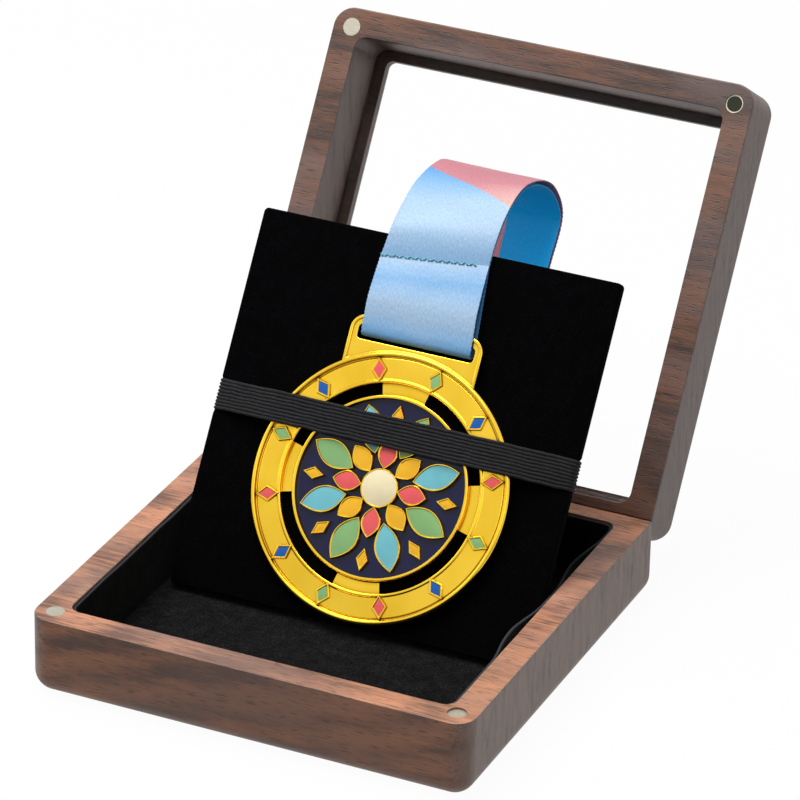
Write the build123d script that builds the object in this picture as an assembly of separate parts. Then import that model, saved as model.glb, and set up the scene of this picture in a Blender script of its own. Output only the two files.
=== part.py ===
from build123d import *
import os
from math import asin, atan2, cos, degrees, hypot, radians, sin, tan

# Walnut medal display box, millimetres. The origin is the middle of the base's underside,
# +X is to the right, +Y runs back to the hinges and +Z is up.
# The part is stored as it is shown: lid open on its stop, velvet board standing on its easel.

# Wooden case
BOX_SIDE = 120.0
BASE_HEIGHT = 21.7
LID_THICKNESS = 21.2
CASE_CORNER = 5.5
CASE_EDGE_ROUND = 5.5
RIM_WIDTH = 7.6
REAR_RIM_WIDTH = 9.8
CAVITY_CORNER = 3.2
BASE_BOTTOM = 3.0

# Lid, window and pane
LID_RIM = 7.4
LID_LIP_WIDTH = 2.6
LID_LIP_THICKNESS = 2.7
WINDOW_CORNER = 2.0
PANE_THICKNESS = 2.0
PANE_CLEARANCE = 0.15

# Hinge line and the bevelled rear edges that stop the lid
HINGE_INSET = 4.7
PARTING_GAP = 0.2
LID_OPENING = 122.3
BEVEL_CLEARANCE = 0.08

# Barrel hinges
HINGE_SPACING = 50.0
BARREL_RADIUS = 3.0
BARREL_LENGTH = 9.0
BARREL_FIT = 0.03
KNUCKLE_RADIUS = 1.3
KNUCKLE_CLEARANCE = 0.12
TONGUE_WIDTH = 2.0
EAR_WIDTH = 1.2
SIDE_CLEARANCE = 0.06
HINGE_PIN_RADIUS = 0.6
PIN_CLEARANCE = 0.02

# Magnets
MAGNET_RADIUS = 2.4
MAGNET_THICKNESS = 2.0
MAGNET_INSET = 5.3
MAGNET_FIT = 0.03
SUNK_MAGNET_DEPTH = 0.5

# Velvet linings of the tray
FLOOR_LINING = 1.0
WALL_LINING = 0.8
LINING_DROP = 0.6

# Velvet board
BOARD_SIDE_GAP = 1.6
BOARD_THICKNESS = 3.0
BOARD_VELVET = 0.6
BOARD_CORNER = 1.2
BOARD_EDGE_BEVEL = 0.5
BOARD_TURN_IN = 8.0
BOARD_OFFSET_X = 1.0
BOARD_FOOT_Y = -1.5
BOARD_LEAN = 33.0
FLOOR_CLEARANCE = 0.3
FOLDED_BOARD_GAP = 0.5

# Easel that holds the board up
EASEL_THICKNESS = 2.0
EASEL_TAB_GAP = 1.5
EASEL_RIBBON_ROOM = 4.8
EASEL_TOP_BAR = 9.0
EASEL_FOOT_BACK_GAP = 1.4
EASEL_PIN_RADIUS = 0.7
EASEL_TUBE_RADIUS = 1.4
EASEL_TUBE_GAP = 0.1
EASEL_LEAF_THICKNESS = 0.5
EASEL_LEAF_DEPTH = 6.5
EASEL_KNUCKLES = 3
EASEL_HEAD_GAP = 0.2
EASEL_WINDOW_CORNER = 3.0
KNUCKLE_ROOT_GAP = 0.3

# Elastic band across the board
BAND_WIDTH = 8.0
BAND_THICKNESS = 0.8
BAND_RISE = 0.2
BAND_NOTCH = 0.5
BAND_TAB = 12.0
BAND_SHOULDER = 0.5
BAND_BEND_INSET = 1.75

# Medal
MEDAL_RADIUS = 35.0
MEDAL_OFFSET_X = 1.0
MEDAL_FLOOR_GAP = 0.9
RIM_THICKNESS = 2.6
RIM_STEP = 1.0
BEAD_WIDTH = 1.1
BEAD_HEIGHT = 0.7
BEAD_CHAMFER = 0.37
PIERCED_WIDTH = 2.8
PIERCED_MARGIN = 0.4
PIERCED_ARC = 62.0
FIELD_RADIUS = 22.9
FIELD_THICKNESS = 1.5
FIELD_EDGE_WIDTH = 0.8
FIELD_EDGE_RISE = 0.3
ENAMEL_DEPTH = 0.7
ENAMEL_DROP = 0.15
CLOISON = 0.5
PLATE_SIDE = 2.2
PLATE_OVERLAP = 9.8
PLATE_RISE = 7.4
PLATE_CORNER = 4.0
PLATE_BACK = 0.9
PLATE_THICKNESS = 1.9
PLATE_BORDER = 0.9
PLATE_BORDER_HEIGHT = 0.4
SLOT_SIDE_ROOM = 1.0
SLOT_HEIGHT = 3.8
SLOT_BAR = 2.6
SLOT_CORNER = 1.1

# Rosette on the medal
PETALS = 8
PETAL_FLATS = 3
INNER_PETAL_START = 5.4
INNER_PETAL_END = 12.6
INNER_PETAL_WIDTH = 4.4
OUTER_LEAF_START = 9.4
LEAF_MARGIN = 1.5
OUTER_LEAF_WIDTH = 6.0
CENTRE_RADIUS = 4.6
DOT_LENGTH = 4.0
DOT_WIDTH = 2.2
DOT_RING = 18.6
PETAL_RISE = 0.4
LEAF_RISE = 0.1
CENTRE_RISE = 0.8

# Enamel studs round the medal's rim
STUDS = 12
STUD_LENGTH = 4.6
STUD_WIDTH = 3.0
STUD_RISE = 0.6
STUD_ROOT = 0.4

# Ribbon
RIBBON_WIDTH = 30.4
RIBBON_THICKNESS = 0.5
RIBBON_LAYER_GAP = 0.12
CLOTH_CLEARANCE = 0.1
STITCH_MARGIN = 3.0
STITCH_THREAD = 0.35
STITCH_LENGTH = 0.85
STITCH_HEIGHT = 0.2
STITCH_COUNT = 19
SEAM_DROP = 4.8
LOOP_BEND_RADIUS = 3.0
ARC_SHARE = 0.45
ARCH_RISE = 15.1
ARCH_REACH = 43.3
ARCH_SPLIT = 0.2
HANK_LENGTH = 32.0
HANK_HEIGHT = 3.3
HANK_FOLD_RADIUS = 1.3
HANK_BACK_GAP = 3.4

# Worked-out places in the box
HALF = BOX_SIDE / 2
CAVITY_WIDTH = BOX_SIDE - 2 * RIM_WIDTH
CAVITY_FRONT = -HALF + RIM_WIDTH
CAVITY_BACK = HALF - REAR_RIM_WIDTH
CAVITY_DEPTH = CAVITY_BACK - CAVITY_FRONT
CAVITY_MIDDLE = (CAVITY_FRONT + CAVITY_BACK) / 2
TRAY_FLOOR = BASE_BOTTOM + FLOOR_LINING
BOARD_SIDE = CAVITY_WIDTH - 2 * (WALL_LINING + BOARD_SIDE_GAP)
BOARD_HEIGHT = CAVITY_DEPTH - 2 * (WALL_LINING + FOLDED_BOARD_GAP)
EASEL_HALF_WIDTH = BOARD_SIDE / 2 - BAND_NOTCH - BAND_TAB - EASEL_TAB_GAP
EASEL_WINDOW_HALF = RIBBON_WIDTH / 2 + MEDAL_OFFSET_X + EASEL_RIBBON_ROOM
BAND_CENTRE_UP = BOARD_HEIGHT / 2 + BAND_RISE
SEAM_UP = BOARD_HEIGHT - SEAM_DROP
AXIS_Y = HALF - HINGE_INSET
AXIS_Z = BASE_HEIGHT + PARTING_GAP / 2
LID_FACE = BASE_HEIGHT + PARTING_GAP
LID_TOP = LID_FACE + LID_THICKNESS
LIP_FACE = LID_TOP - LID_LIP_THICKNESS
HINGE_AXIS = Axis((0, AXIS_Y, AXIS_Z), (1, 0, 0))

# The folding path: the board's foot slides forward while the easel lies down under it.
# Both ends are known, standing and folded flat, and they fix where the easel is hinged to the board.
EASEL_PIN_OFFSET = EASEL_TUBE_RADIUS + EASEL_TUBE_GAP + EASEL_LEAF_THICKNESS
EASEL_FOOT_Y = CAVITY_BACK - WALL_LINING - EASEL_FOOT_BACK_GAP
EASEL_FOOT = (EASEL_FOOT_Y, TRAY_FLOOR + FLOOR_CLEARANCE + EASEL_THICKNESS / 2)
FOLDED_PIN_Z = TRAY_FLOOR + FLOOR_CLEARANCE + EASEL_TUBE_RADIUS
FOLDED_FOOT_Y = CAVITY_FRONT + WALL_LINING + FOLDED_BOARD_GAP
UP_Y = sin(radians(BOARD_LEAN))
UP_Z = cos(radians(BOARD_LEAN))
BOARD_FOOT_Z = TRAY_FLOOR + FLOOR_CLEARANCE
START_Y = BOARD_FOOT_Y + EASEL_PIN_OFFSET * UP_Z - EASEL_FOOT[0]
START_Z = BOARD_FOOT_Z - EASEL_PIN_OFFSET * UP_Y - EASEL_FOOT[1]
REACH = EASEL_FOOT[0] - FOLDED_FOOT_Y
FOLDED_RISE = FOLDED_PIN_Z - EASEL_FOOT[1]
EASEL_PIN_UP = (REACH**2 + FOLDED_RISE**2 - START_Y**2 - START_Z**2) / (
    2 * (START_Y * UP_Y + START_Z * UP_Z + REACH)
)
EASEL_PIN_Y = BOARD_FOOT_Y + EASEL_PIN_UP * UP_Y + EASEL_PIN_OFFSET * UP_Z
EASEL_PIN_Z = BOARD_FOOT_Z + EASEL_PIN_UP * UP_Z - EASEL_PIN_OFFSET * UP_Y
EASEL_LENGTH = hypot(EASEL_PIN_Y - EASEL_FOOT[0], EASEL_PIN_Z - EASEL_FOOT[1])
EASEL_RISE = degrees(atan2(EASEL_PIN_Z - EASEL_FOOT[1], EASEL_FOOT[0] - EASEL_PIN_Y))
FOLDED_EASEL_RISE = degrees(asin(FOLDED_RISE / EASEL_LENGTH))

BOARD_PLACE = Location((BOARD_OFFSET_X, BOARD_FOOT_Y, BOARD_FOOT_Z), (90 - BOARD_LEAN, 0, 0))
EASEL_PLACE = Location((BOARD_OFFSET_X, *EASEL_FOOT), (-EASEL_RISE, 0, 0))
MEDAL_CENTRE_UP = MEDAL_RADIUS + MEDAL_FLOOR_GAP
MEDAL_PLACE = BOARD_PLACE * Location((MEDAL_OFFSET_X, MEDAL_CENTRE_UP, BOARD_THICKNESS))
PLATE_TOP = MEDAL_RADIUS + PLATE_RISE
SLOT_WIDTH = RIBBON_WIDTH + 2 * SLOT_SIDE_ROOM
PLATE_WIDTH = SLOT_WIDTH + 2 * PLATE_SIDE
PIERCED_INNER = FIELD_RADIUS + FIELD_EDGE_WIDTH + PIERCED_MARGIN
PIERCED_OUTER = PIERCED_INNER + PIERCED_WIDTH
FIELD_FLOOR = FIELD_THICKNESS - ENAMEL_DEPTH
FIELD_EDGE_HEIGHT = RIM_THICKNESS + FIELD_EDGE_RISE
OUTER_LEAF_END = FIELD_RADIUS - LEAF_MARGIN
PETAL_TOP = RIM_THICKNESS + PETAL_RISE
LEAF_TOP = RIM_THICKNESS + LEAF_RISE
CENTRE_TOP = RIM_THICKNESS + CENTRE_RISE
DOT_TOP = RIM_THICKNESS
STUD_RING = (PIERCED_OUTER + MEDAL_RADIUS - BEAD_WIDTH) / 2
STUD_TOP = RIM_THICKNESS + STUD_RISE


def prism_along_x(points, width, centre_x=0.0):
    """A solid with the given outline in the Y-Z plane, centred on X."""
    outline = make_face(Polyline(*[(0, y, z) for y, z in points], close=True))
    return extrude(outline, amount=width / 2, dir=(1, 0, 0), both=True).moved(Location((centre_x, 0, 0)))


def rod_along_x(radius, length, centre):
    """A round rod whose axis runs along X."""
    return Location(centre, (0, 90, 0)) * Cylinder(radius, length)


def rounded_slab(width, depth, bottom, top, corner, centre_y=0.0):
    """A slab with rounded plan corners between two heights."""
    outline = RectangleRounded(width, depth, corner)
    return Location((0, centre_y, bottom)) * extrude(outline, top - bottom)


def open_lid(closed):
    """Turns a piece modelled on the closed lid back to the open stop."""
    return closed.rotate(HINGE_AXIS, -LID_OPENING)


def bevel_cutter(side):
    """Everything behind the bevelled rear edge: side -1 is the base's wedge, +1 the lid's."""
    slope = tan(radians(LID_OPENING / 2))
    far = 3 * HINGE_INSET
    apex = AXIS_Y - BEVEL_CLEARANCE
    wedge = [(apex, AXIS_Z), (apex + far, AXIS_Z + side * far * slope), (apex + far, AXIS_Z - side * far)]
    return prism_along_x(wedge, 2 * BOX_SIDE)


def magnet_spots(face_z, sunk_right, into):
    """Places of the two front magnets: (x, y, z of the outer face) for each side."""
    y = -HALF + MAGNET_INSET
    depth = into * SUNK_MAGNET_DEPTH if sunk_right else 0.0
    return {"left": (-HALF + MAGNET_INSET, y, face_z), "right": (HALF - MAGNET_INSET, y, face_z + depth)}


def magnet_disc(spot, into, fit=0.0, extra=0.0):
    """A magnet, or the bore for it, that starts at its outer face and runs into the wood."""
    length = MAGNET_THICKNESS + extra
    x, y, z = spot
    middle = z + into * (length - extra) / 2
    return Location((x, y, middle)) * Cylinder(MAGNET_RADIUS + fit, length + extra)


def base_magnet_spots():
    return magnet_spots(BASE_HEIGHT, True, -1)


def lid_magnet_spots():
    return magnet_spots(LID_FACE, True, 1)


def barrel_bores(side):
    """Bores for the two hinge barrels: side -1 runs down into the base, +1 up into the lid."""
    length = BARREL_LENGTH + KNUCKLE_RADIUS
    middle = AXIS_Z + side * (BARREL_LENGTH - KNUCKLE_RADIUS) / 2
    bore = Cylinder(BARREL_RADIUS + BARREL_FIT, length)
    return [Location((x, AXIS_Y, middle)) * bore for x in (-HINGE_SPACING / 2, HINGE_SPACING / 2)]


def tray_block(bottom, top, inset, corner):
    """The room inside the tray's walls between two heights, drawn in all round by an inset."""
    width = CAVITY_WIDTH - 2 * inset
    depth = CAVITY_DEPTH - 2 * inset
    return rounded_slab(width, depth, bottom, top, corner, CAVITY_MIDDLE)


def make_base_shell():
    """Solid walnut block with rounded edges, a milled tray and a bevelled rear top edge."""
    block = rounded_slab(BOX_SIDE, BOX_SIDE, 0, BASE_HEIGHT, CASE_CORNER)
    block = fillet(block.faces().sort_by(Axis.Z)[0].edges(), min(CASE_EDGE_ROUND, CASE_CORNER))
    block -= tray_block(BASE_BOTTOM, BASE_HEIGHT + 1, 0, CAVITY_CORNER)
    block -= bevel_cutter(-1)
    block -= barrel_bores(-1)
    for spot in base_magnet_spots().values():
        block -= magnet_disc(spot, -1, MAGNET_FIT, SUNK_MAGNET_DEPTH)
    return block


def make_floor_lining():
    """Velvet card glued to the floor of the tray."""
    return tray_block(BASE_BOTTOM, TRAY_FLOOR, 0, CAVITY_CORNER)


def make_wall_lining():
    """Velvet strip glued round the walls of the tray."""
    top = BASE_HEIGHT - LINING_DROP
    inside = tray_block(TRAY_FLOOR - 1, top + 1, WALL_LINING, CAVITY_CORNER - WALL_LINING)
    return tray_block(TRAY_FLOOR, top, 0, CAVITY_CORNER) - inside


def make_lid_frame():
    """Walnut lid: a deep frame whose thin outer lip holds the pane."""
    frame = rounded_slab(BOX_SIDE, BOX_SIDE, LID_FACE, LID_TOP, CASE_CORNER)
    frame = fillet(frame.faces().sort_by(Axis.Z)[-1].edges(), min(CASE_EDGE_ROUND, CASE_CORNER))
    recess = BOX_SIDE - 2 * LID_RIM
    window = recess - 2 * LID_LIP_WIDTH
    frame -= rounded_slab(recess, recess, LID_FACE - 1, LIP_FACE, CAVITY_CORNER)
    frame -= rounded_slab(window, window, LIP_FACE - 1, LID_TOP + 1, WINDOW_CORNER)
    frame -= bevel_cutter(1)
    frame -= barrel_bores(1)
    for spot in lid_magnet_spots().values():
        frame -= magnet_disc(spot, 1, MAGNET_FIT, SUNK_MAGNET_DEPTH)
    return open_lid(frame)


def make_window_pane():
    """Clear acrylic pane seated on the lid's lip."""
    side = BOX_SIDE - 2 * LID_RIM - 2 * PANE_CLEARANCE
    pane = rounded_slab(side, side, LIP_FACE - PANE_THICKNESS, LIP_FACE, CAVITY_CORNER - PANE_CLEARANCE)
    return open_lid(pane)


def hinge_barrel(side, x):
    """Half of a brass barrel hinge: the base's half has two ears, the lid's a tongue."""
    face = BASE_HEIGHT if side < 0 else LID_FACE
    foot = AXIS_Z + side * BARREL_LENGTH
    length = abs(face - foot)
    barrel = Location((0, AXIS_Y, (face + foot) / 2)) * Cylinder(BARREL_RADIUS, length)
    barrel -= bevel_cutter(side)
    axis_point = (0, AXIS_Y, AXIS_Z)
    room = KNUCKLE_RADIUS + KNUCKLE_CLEARANCE
    tongue_room = TONGUE_WIDTH + 2 * SIDE_CLEARANCE
    ear_middle = tongue_room / 2 + EAR_WIDTH / 2
    if side < 0:
        barrel -= rod_along_x(room, tongue_room, axis_point)
        for ear_x in (-ear_middle, ear_middle):
            barrel += rod_along_x(KNUCKLE_RADIUS, EAR_WIDTH, (ear_x, AXIS_Y, AXIS_Z))
        barrel -= rod_along_x(HINGE_PIN_RADIUS + PIN_CLEARANCE, 3 * BARREL_RADIUS, axis_point)
    else:
        tongue = rod_along_x(2 * room, TONGUE_WIDTH, axis_point)
        barrel -= rod_along_x(room, 3 * BARREL_RADIUS, axis_point) - tongue
        barrel += rod_along_x(KNUCKLE_RADIUS, TONGUE_WIDTH, axis_point)
        barrel -= rod_along_x(HINGE_PIN_RADIUS + 2 * PIN_CLEARANCE, 3 * BARREL_RADIUS, axis_point)
    barrel = barrel.moved(Location((x, 0, 0)))
    return open_lid(barrel) if side > 0 else barrel


def hinge_pin(x):
    """Steel pin through the ears and the tongue."""
    length = TONGUE_WIDTH + 2 * SIDE_CLEARANCE + 2 * EAR_WIDTH
    return rod_along_x(HINGE_PIN_RADIUS, length, (x, AXIS_Y, AXIS_Z))


def board_box(x0, x1, up0, up1, n0, n1):
    """A box given by its limits on the board: across, up and out of its back face."""
    size = Box(x1 - x0, up1 - up0, n1 - n0)
    return Location(((x0 + x1) / 2, (up0 + up1) / 2, (n0 + n1) / 2)) * size


def band_notches():
    """Nicks in the board's side edges that keep the band in place."""
    low = BAND_CENTRE_UP - BAND_WIDTH / 2
    high = BAND_CENTRE_UP + BAND_WIDTH / 2
    edge = BOARD_SIDE / 2
    cuts = board_box(edge - BAND_NOTCH, edge + 1, low, high, -1, BOARD_THICKNESS + 1)
    return cuts + board_box(-edge - 1, -edge + BAND_NOTCH, low, high, -1, BOARD_THICKNESS + 1)


def core_outline(bottom, top, inset):
    """A slab on the board, inset from the board's outline."""
    outline = Rectangle(BOARD_SIDE - 2 * inset, BOARD_HEIGHT - 2 * inset)
    return Location((0, BOARD_HEIGHT / 2, bottom)) * extrude(outline, top - bottom)


def make_board_core():
    """Stiff grey board inside the velvet."""
    return BOARD_PLACE * core_outline(BOARD_VELVET, BOARD_THICKNESS - BOARD_VELVET, BOARD_VELVET + BAND_NOTCH)


def make_board_velvet():
    """Black velvet over the front and edges, turned in over the back."""
    skin = rounded_slab(BOARD_SIDE, BOARD_HEIGHT, 0, BOARD_THICKNESS, BOARD_CORNER, BOARD_HEIGHT / 2)
    skin = chamfer(skin.faces().sort_by(Axis.Z)[-1].edges(), BOARD_EDGE_BEVEL)
    skin -= core_outline(BOARD_VELVET, BOARD_THICKNESS - BOARD_VELVET, BOARD_VELVET + BAND_NOTCH)
    skin -= core_outline(-1, BOARD_VELVET, BOARD_TURN_IN)
    return BOARD_PLACE * (skin - band_notches())


def make_board_backing():
    """Black paper that closes the back of the board inside the turned-in velvet."""
    return BOARD_PLACE * core_outline(0, BOARD_VELVET, BOARD_TURN_IN)


def knuckle_places(first):
    """Middles and length of every second knuckle of the easel's hinge, from the first or the second one."""
    pitch = 2 * EASEL_HALF_WIDTH / EASEL_KNUCKLES
    length = pitch - 2 * SIDE_CLEARANCE
    middles = [(-EASEL_HALF_WIDTH + pitch * (i + 0.5)) for i in range(first, EASEL_KNUCKLES, 2)]
    return middles, length


def make_board_hinge_leaf():
    """Steel leaf on the back of the board, rolled into knuckles round the easel's pin."""
    low = EASEL_PIN_UP - EASEL_LEAF_DEPTH
    high = EASEL_PIN_UP - EASEL_TUBE_RADIUS
    root = EASEL_PIN_UP - EASEL_PIN_RADIUS - KNUCKLE_ROOT_GAP
    plate = board_box(-EASEL_HALF_WIDTH, EASEL_HALF_WIDTH, low, high, -EASEL_LEAF_THICKNESS, 0)
    middles, length = knuckle_places(0)
    low_root = high - EASEL_LEAF_THICKNESS
    for x in middles:
        plate += rod_along_x(EASEL_TUBE_RADIUS, length, (x, EASEL_PIN_UP, -EASEL_PIN_OFFSET))
        plate += board_box(x - length / 2, x + length / 2, low_root, root, -EASEL_PIN_OFFSET, 0)
    bore_radius = EASEL_PIN_RADIUS + PIN_CLEARANCE
    bore = rod_along_x(bore_radius, 3 * EASEL_HALF_WIDTH, (0, EASEL_PIN_UP, -EASEL_PIN_OFFSET))
    return BOARD_PLACE * (plate - bore)


def make_easel_pin():
    """Pin of the easel's hinge, held by the board's knuckles."""
    pin = rod_along_x(EASEL_PIN_RADIUS, 2 * EASEL_HALF_WIDTH, (0, EASEL_PIN_UP, -EASEL_PIN_OFFSET))
    return BOARD_PLACE * pin


def make_easel():
    """Card easel with two legs. Its own frame has the foot's edge at the origin and the pin on -Y."""
    half = EASEL_THICKNESS / 2
    head = EASEL_TUBE_RADIUS + SIDE_CLEARANCE + EASEL_HEAD_GAP
    length = EASEL_LENGTH - head
    card = Location((0, -length / 2, 0)) * Box(2 * EASEL_HALF_WIDTH, length, EASEL_THICKNESS)
    card += rod_along_x(half, 2 * EASEL_HALF_WIDTH, (0, 0, 0))
    window_length = length - EASEL_TOP_BAR + half
    window_middle = half - window_length / 2
    window = RectangleRounded(2 * EASEL_WINDOW_HALF, window_length + 2 * half, EASEL_WINDOW_CORNER)
    cut = Location((0, window_middle, 0)) * extrude(window, EASEL_THICKNESS, both=True)
    return EASEL_PLACE * (card - cut)


def make_easel_hinge_leaf():
    """Steel leaf glued under the easel's top bar, with the knuckles between the board's."""
    start = -EASEL_LENGTH + EASEL_PIN_RADIUS
    end = -EASEL_LENGTH + EASEL_TUBE_RADIUS + EASEL_LEAF_DEPTH
    middle_z = -(EASEL_THICKNESS + EASEL_LEAF_THICKNESS) / 2
    middles, length = knuckle_places(1)
    plate_start = -EASEL_LENGTH + EASEL_TUBE_RADIUS + SIDE_CLEARANCE
    plate = Box(2 * EASEL_HALF_WIDTH, end - plate_start, EASEL_LEAF_THICKNESS)
    leaf = Location((0, (plate_start + end) / 2, middle_z)) * plate
    for x in middles:
        leaf += rod_along_x(EASEL_TUBE_RADIUS, length, (x, -EASEL_LENGTH, 0))
        tongue = Box(length, plate_start - start + EASEL_LEAF_THICKNESS, EASEL_LEAF_THICKNESS)
        leaf += Location((x, (start + plate_start + EASEL_LEAF_THICKNESS) / 2, middle_z)) * tongue
    leaf -= rod_along_x(EASEL_PIN_RADIUS + 2 * PIN_CLEARANCE, 3 * EASEL_HALF_WIDTH, (0, -EASEL_LENGTH, 0))
    return EASEL_PLACE * leaf


def make_elastic_band():
    """Ribbed elastic from tab to tab: round both side edges and straight over the medal."""
    edge = BOARD_SIDE / 2 - BAND_NOTCH
    medal_top = BOARD_THICKNESS + RIM_THICKNESS + BEAD_HEIGHT
    left = MEDAL_OFFSET_X - MEDAL_RADIUS + BAND_BEND_INSET
    right = MEDAL_OFFSET_X + MEDAL_RADIUS - BAND_BEND_INSET
    shoulder = BOARD_THICKNESS + BAND_SHOULDER
    t = BAND_THICKNESS
    inner = [
        (edge - BAND_TAB, 0), (edge, 0), (edge, BOARD_THICKNESS), (right, medal_top),
        (left, medal_top), (-edge, BOARD_THICKNESS), (-edge, 0), (-edge + BAND_TAB, 0),
    ]
    outer = [
        (-edge + BAND_TAB, -t), (-edge - t, -t), (-edge - t, shoulder), (left, medal_top + t),
        (right, medal_top + t), (edge + t, shoulder), (edge + t, -t), (edge - BAND_TAB, -t),
    ]
    face = make_face(Polyline(*[(x, 0, n) for x, n in inner + outer], close=True))
    band = extrude(face, amount=BAND_WIDTH / 2, dir=(0, 1, 0), both=True)
    return BOARD_PLACE * (Location((0, BAND_CENTRE_UP, 0)) * band)


def ring_sector(inner, outer, start, sweep):
    """Flat sector of a ring."""
    a0 = radians(start)
    a1 = radians(start + sweep)
    am = radians(start + sweep / 2)
    at = lambda r, a: (r * cos(a), r * sin(a))
    edges = [
        ThreePointArc(at(outer, a0), at(outer, am), at(outer, a1)),
        Line(at(outer, a1), at(inner, a1)),
        ThreePointArc(at(inner, a1), at(inner, am), at(inner, a0)),
        Line(at(inner, a0), at(outer, a0)),
    ]
    return make_face(Wire(edges))


def petal_face(start, end, width, grow=0.0):
    """Pointed petal on the +X axis between two radii, with a few flats to each side."""
    length = end - start + 2 * grow
    side = width / 2 + grow
    shares = [i / PETAL_FLATS for i in range(PETAL_FLATS + 1)]
    upper = [(start - grow + length * t, side * 4 * t * (1 - t)) for t in shares]
    lower = [(x, -y) for x, y in reversed(upper[1:-1])]
    return make_face(Polyline(*upper, *lower, close=True))


def ring_of(shape, count, first=0.0):
    """Copies of a flat or solid shape turned about the medal's centre."""
    return [shape.rotate(Axis.Z, first + i * 360.0 / count) for i in range(count)]


def inner_petals(grow=0.0):
    return ring_of(petal_face(INNER_PETAL_START, INNER_PETAL_END, INNER_PETAL_WIDTH, grow), PETALS)


def outer_leaves(grow=0.0):
    leaf = petal_face(OUTER_LEAF_START, OUTER_LEAF_END, OUTER_LEAF_WIDTH, grow)
    return ring_of(leaf, PETALS, 180.0 / PETALS)


def lozenge(ring, length, width, grow):
    """Four-sided stud with its long diagonal along the radius, at the given distance from the centre."""
    a = length / 2 + grow * hypot(length, width) / width
    b = width / 2 + grow * hypot(length, width) / length
    return make_face(Polyline((ring - a, 0), (ring, b), (ring + a, 0), (ring, -b), close=True))


def dots(grow=0.0):
    return ring_of(lozenge(DOT_RING, DOT_LENGTH, DOT_WIDTH, grow), PETALS)


def studs(grow=0.0):
    return ring_of(lozenge(STUD_RING, STUD_LENGTH, STUD_WIDTH, grow), STUDS, 180.0 / STUDS)


def raised(faces, top, bottom=FIELD_FLOOR):
    """Solids that stand on the field from a list of flat shapes."""
    return [Location((0, 0, bottom)) * extrude(face, top - bottom) for face in faces]


def rosette_walls():
    """Gold walls round every enamel of the rosette."""
    walls = raised(outer_leaves(CLOISON), LEAF_TOP) + raised(inner_petals(CLOISON), PETAL_TOP)
    return walls + raised(dots(CLOISON), DOT_TOP) + raised([Circle(CENTRE_RADIUS + CLOISON)], PETAL_TOP)


def make_medal_disc():
    """Turned form of the medal: recessed field, ring, step, flat rim and chamfered outer bead."""
    field_ring = FIELD_RADIUS + FIELD_EDGE_WIDTH
    bead_inner = MEDAL_RADIUS - BEAD_WIDTH
    step = PIERCED_OUTER - RIM_STEP
    bead_top = RIM_THICKNESS + BEAD_HEIGHT
    profile = [
        (MEDAL_RADIUS, bead_top - BEAD_CHAMFER), (MEDAL_RADIUS - BEAD_CHAMFER, bead_top),
        (bead_inner, bead_top), (bead_inner, RIM_THICKNESS),
        (step, RIM_THICKNESS), (step, FIELD_THICKNESS),
        (field_ring, FIELD_THICKNESS), (field_ring, FIELD_EDGE_HEIGHT),
        (FIELD_RADIUS, FIELD_EDGE_HEIGHT), (FIELD_RADIUS, FIELD_FLOOR),
        (0, FIELD_FLOOR), (0, 0), (MEDAL_RADIUS, 0),
    ]
    outline = Polyline(*[(r, 0, z) for r, z in profile], close=True)
    return revolve(make_face(outline), Axis.Z)


def make_ribbon_plate():
    """Flat plate over the rim with a raised border at each side and the slot for the ribbon."""
    bottom = MEDAL_RADIUS - PLATE_OVERLAP
    height = PLATE_TOP - bottom
    place = Location((0, bottom + height / 2, PLATE_BACK))
    plate = place * extrude(RectangleRounded(PLATE_WIDTH, height, PLATE_CORNER), PLATE_THICKNESS)
    border = RectangleRounded(PLATE_WIDTH, height, PLATE_CORNER)
    inner_width = PLATE_WIDTH - 2 * PLATE_BORDER
    border -= RectangleRounded(inner_width, height - 2 * PLATE_BORDER, PLATE_CORNER - PLATE_BORDER)
    border -= Rectangle(SLOT_WIDTH, 2 * height)
    plate += place * extrude(border, PLATE_THICKNESS + PLATE_BORDER_HEIGHT)
    plate -= extrude(Circle(MEDAL_RADIUS - BEAD_WIDTH), 3 * RIM_THICKNESS, both=True)
    slot = extrude(RectangleRounded(SLOT_WIDTH, SLOT_HEIGHT, SLOT_CORNER), 3 * RIM_THICKNESS, both=True)
    return plate - Location((0, PLATE_TOP - SLOT_BAR - SLOT_HEIGHT / 2, 0)) * slot


def make_medal_body():
    """Cast and gilded body: turned disc with pierced arcs, ribbon plate and the walls between the enamels."""
    body = make_medal_disc() + make_ribbon_plate()
    for start in (45, 135, 225, 315):
        arc = ring_sector(PIERCED_INNER, PIERCED_OUTER, start - PIERCED_ARC / 2, PIERCED_ARC)
        body -= extrude(arc, 3 * RIM_THICKNESS, both=True)
    body += rosette_walls()
    wells = raised(visible_leaves(), LEAF_TOP + 1, LEAF_TOP - ENAMEL_DEPTH)
    wells += raised(inner_petals(), PETAL_TOP + 1, PETAL_TOP - ENAMEL_DEPTH)
    wells += raised(dots(), DOT_TOP + 1, DOT_TOP - ENAMEL_DEPTH)
    wells += raised([Circle(CENTRE_RADIUS)], PETAL_TOP + 1, PETAL_TOP - ENAMEL_DEPTH)
    body -= wells
    body += raised(studs(CLOISON), STUD_TOP, RIM_THICKNESS - STUD_ROOT)
    body -= raised(studs(), STUD_TOP + 1, STUD_TOP - ENAMEL_DEPTH)
    return MEDAL_PLACE * body


def visible_leaves():
    """Outer leaves less the petals that overlap them."""
    cover = Sketch() + inner_petals(CLOISON)
    return [leaf - cover for leaf in outer_leaves()]


def enamel(faces, top):
    """Enamel fills just under the gold walls, one solid for each well."""
    fills = raised(faces, top - ENAMEL_DROP, top - ENAMEL_DEPTH)
    return [MEDAL_PLACE * solid for fill in fills for solid in fill.solids()]


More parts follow.
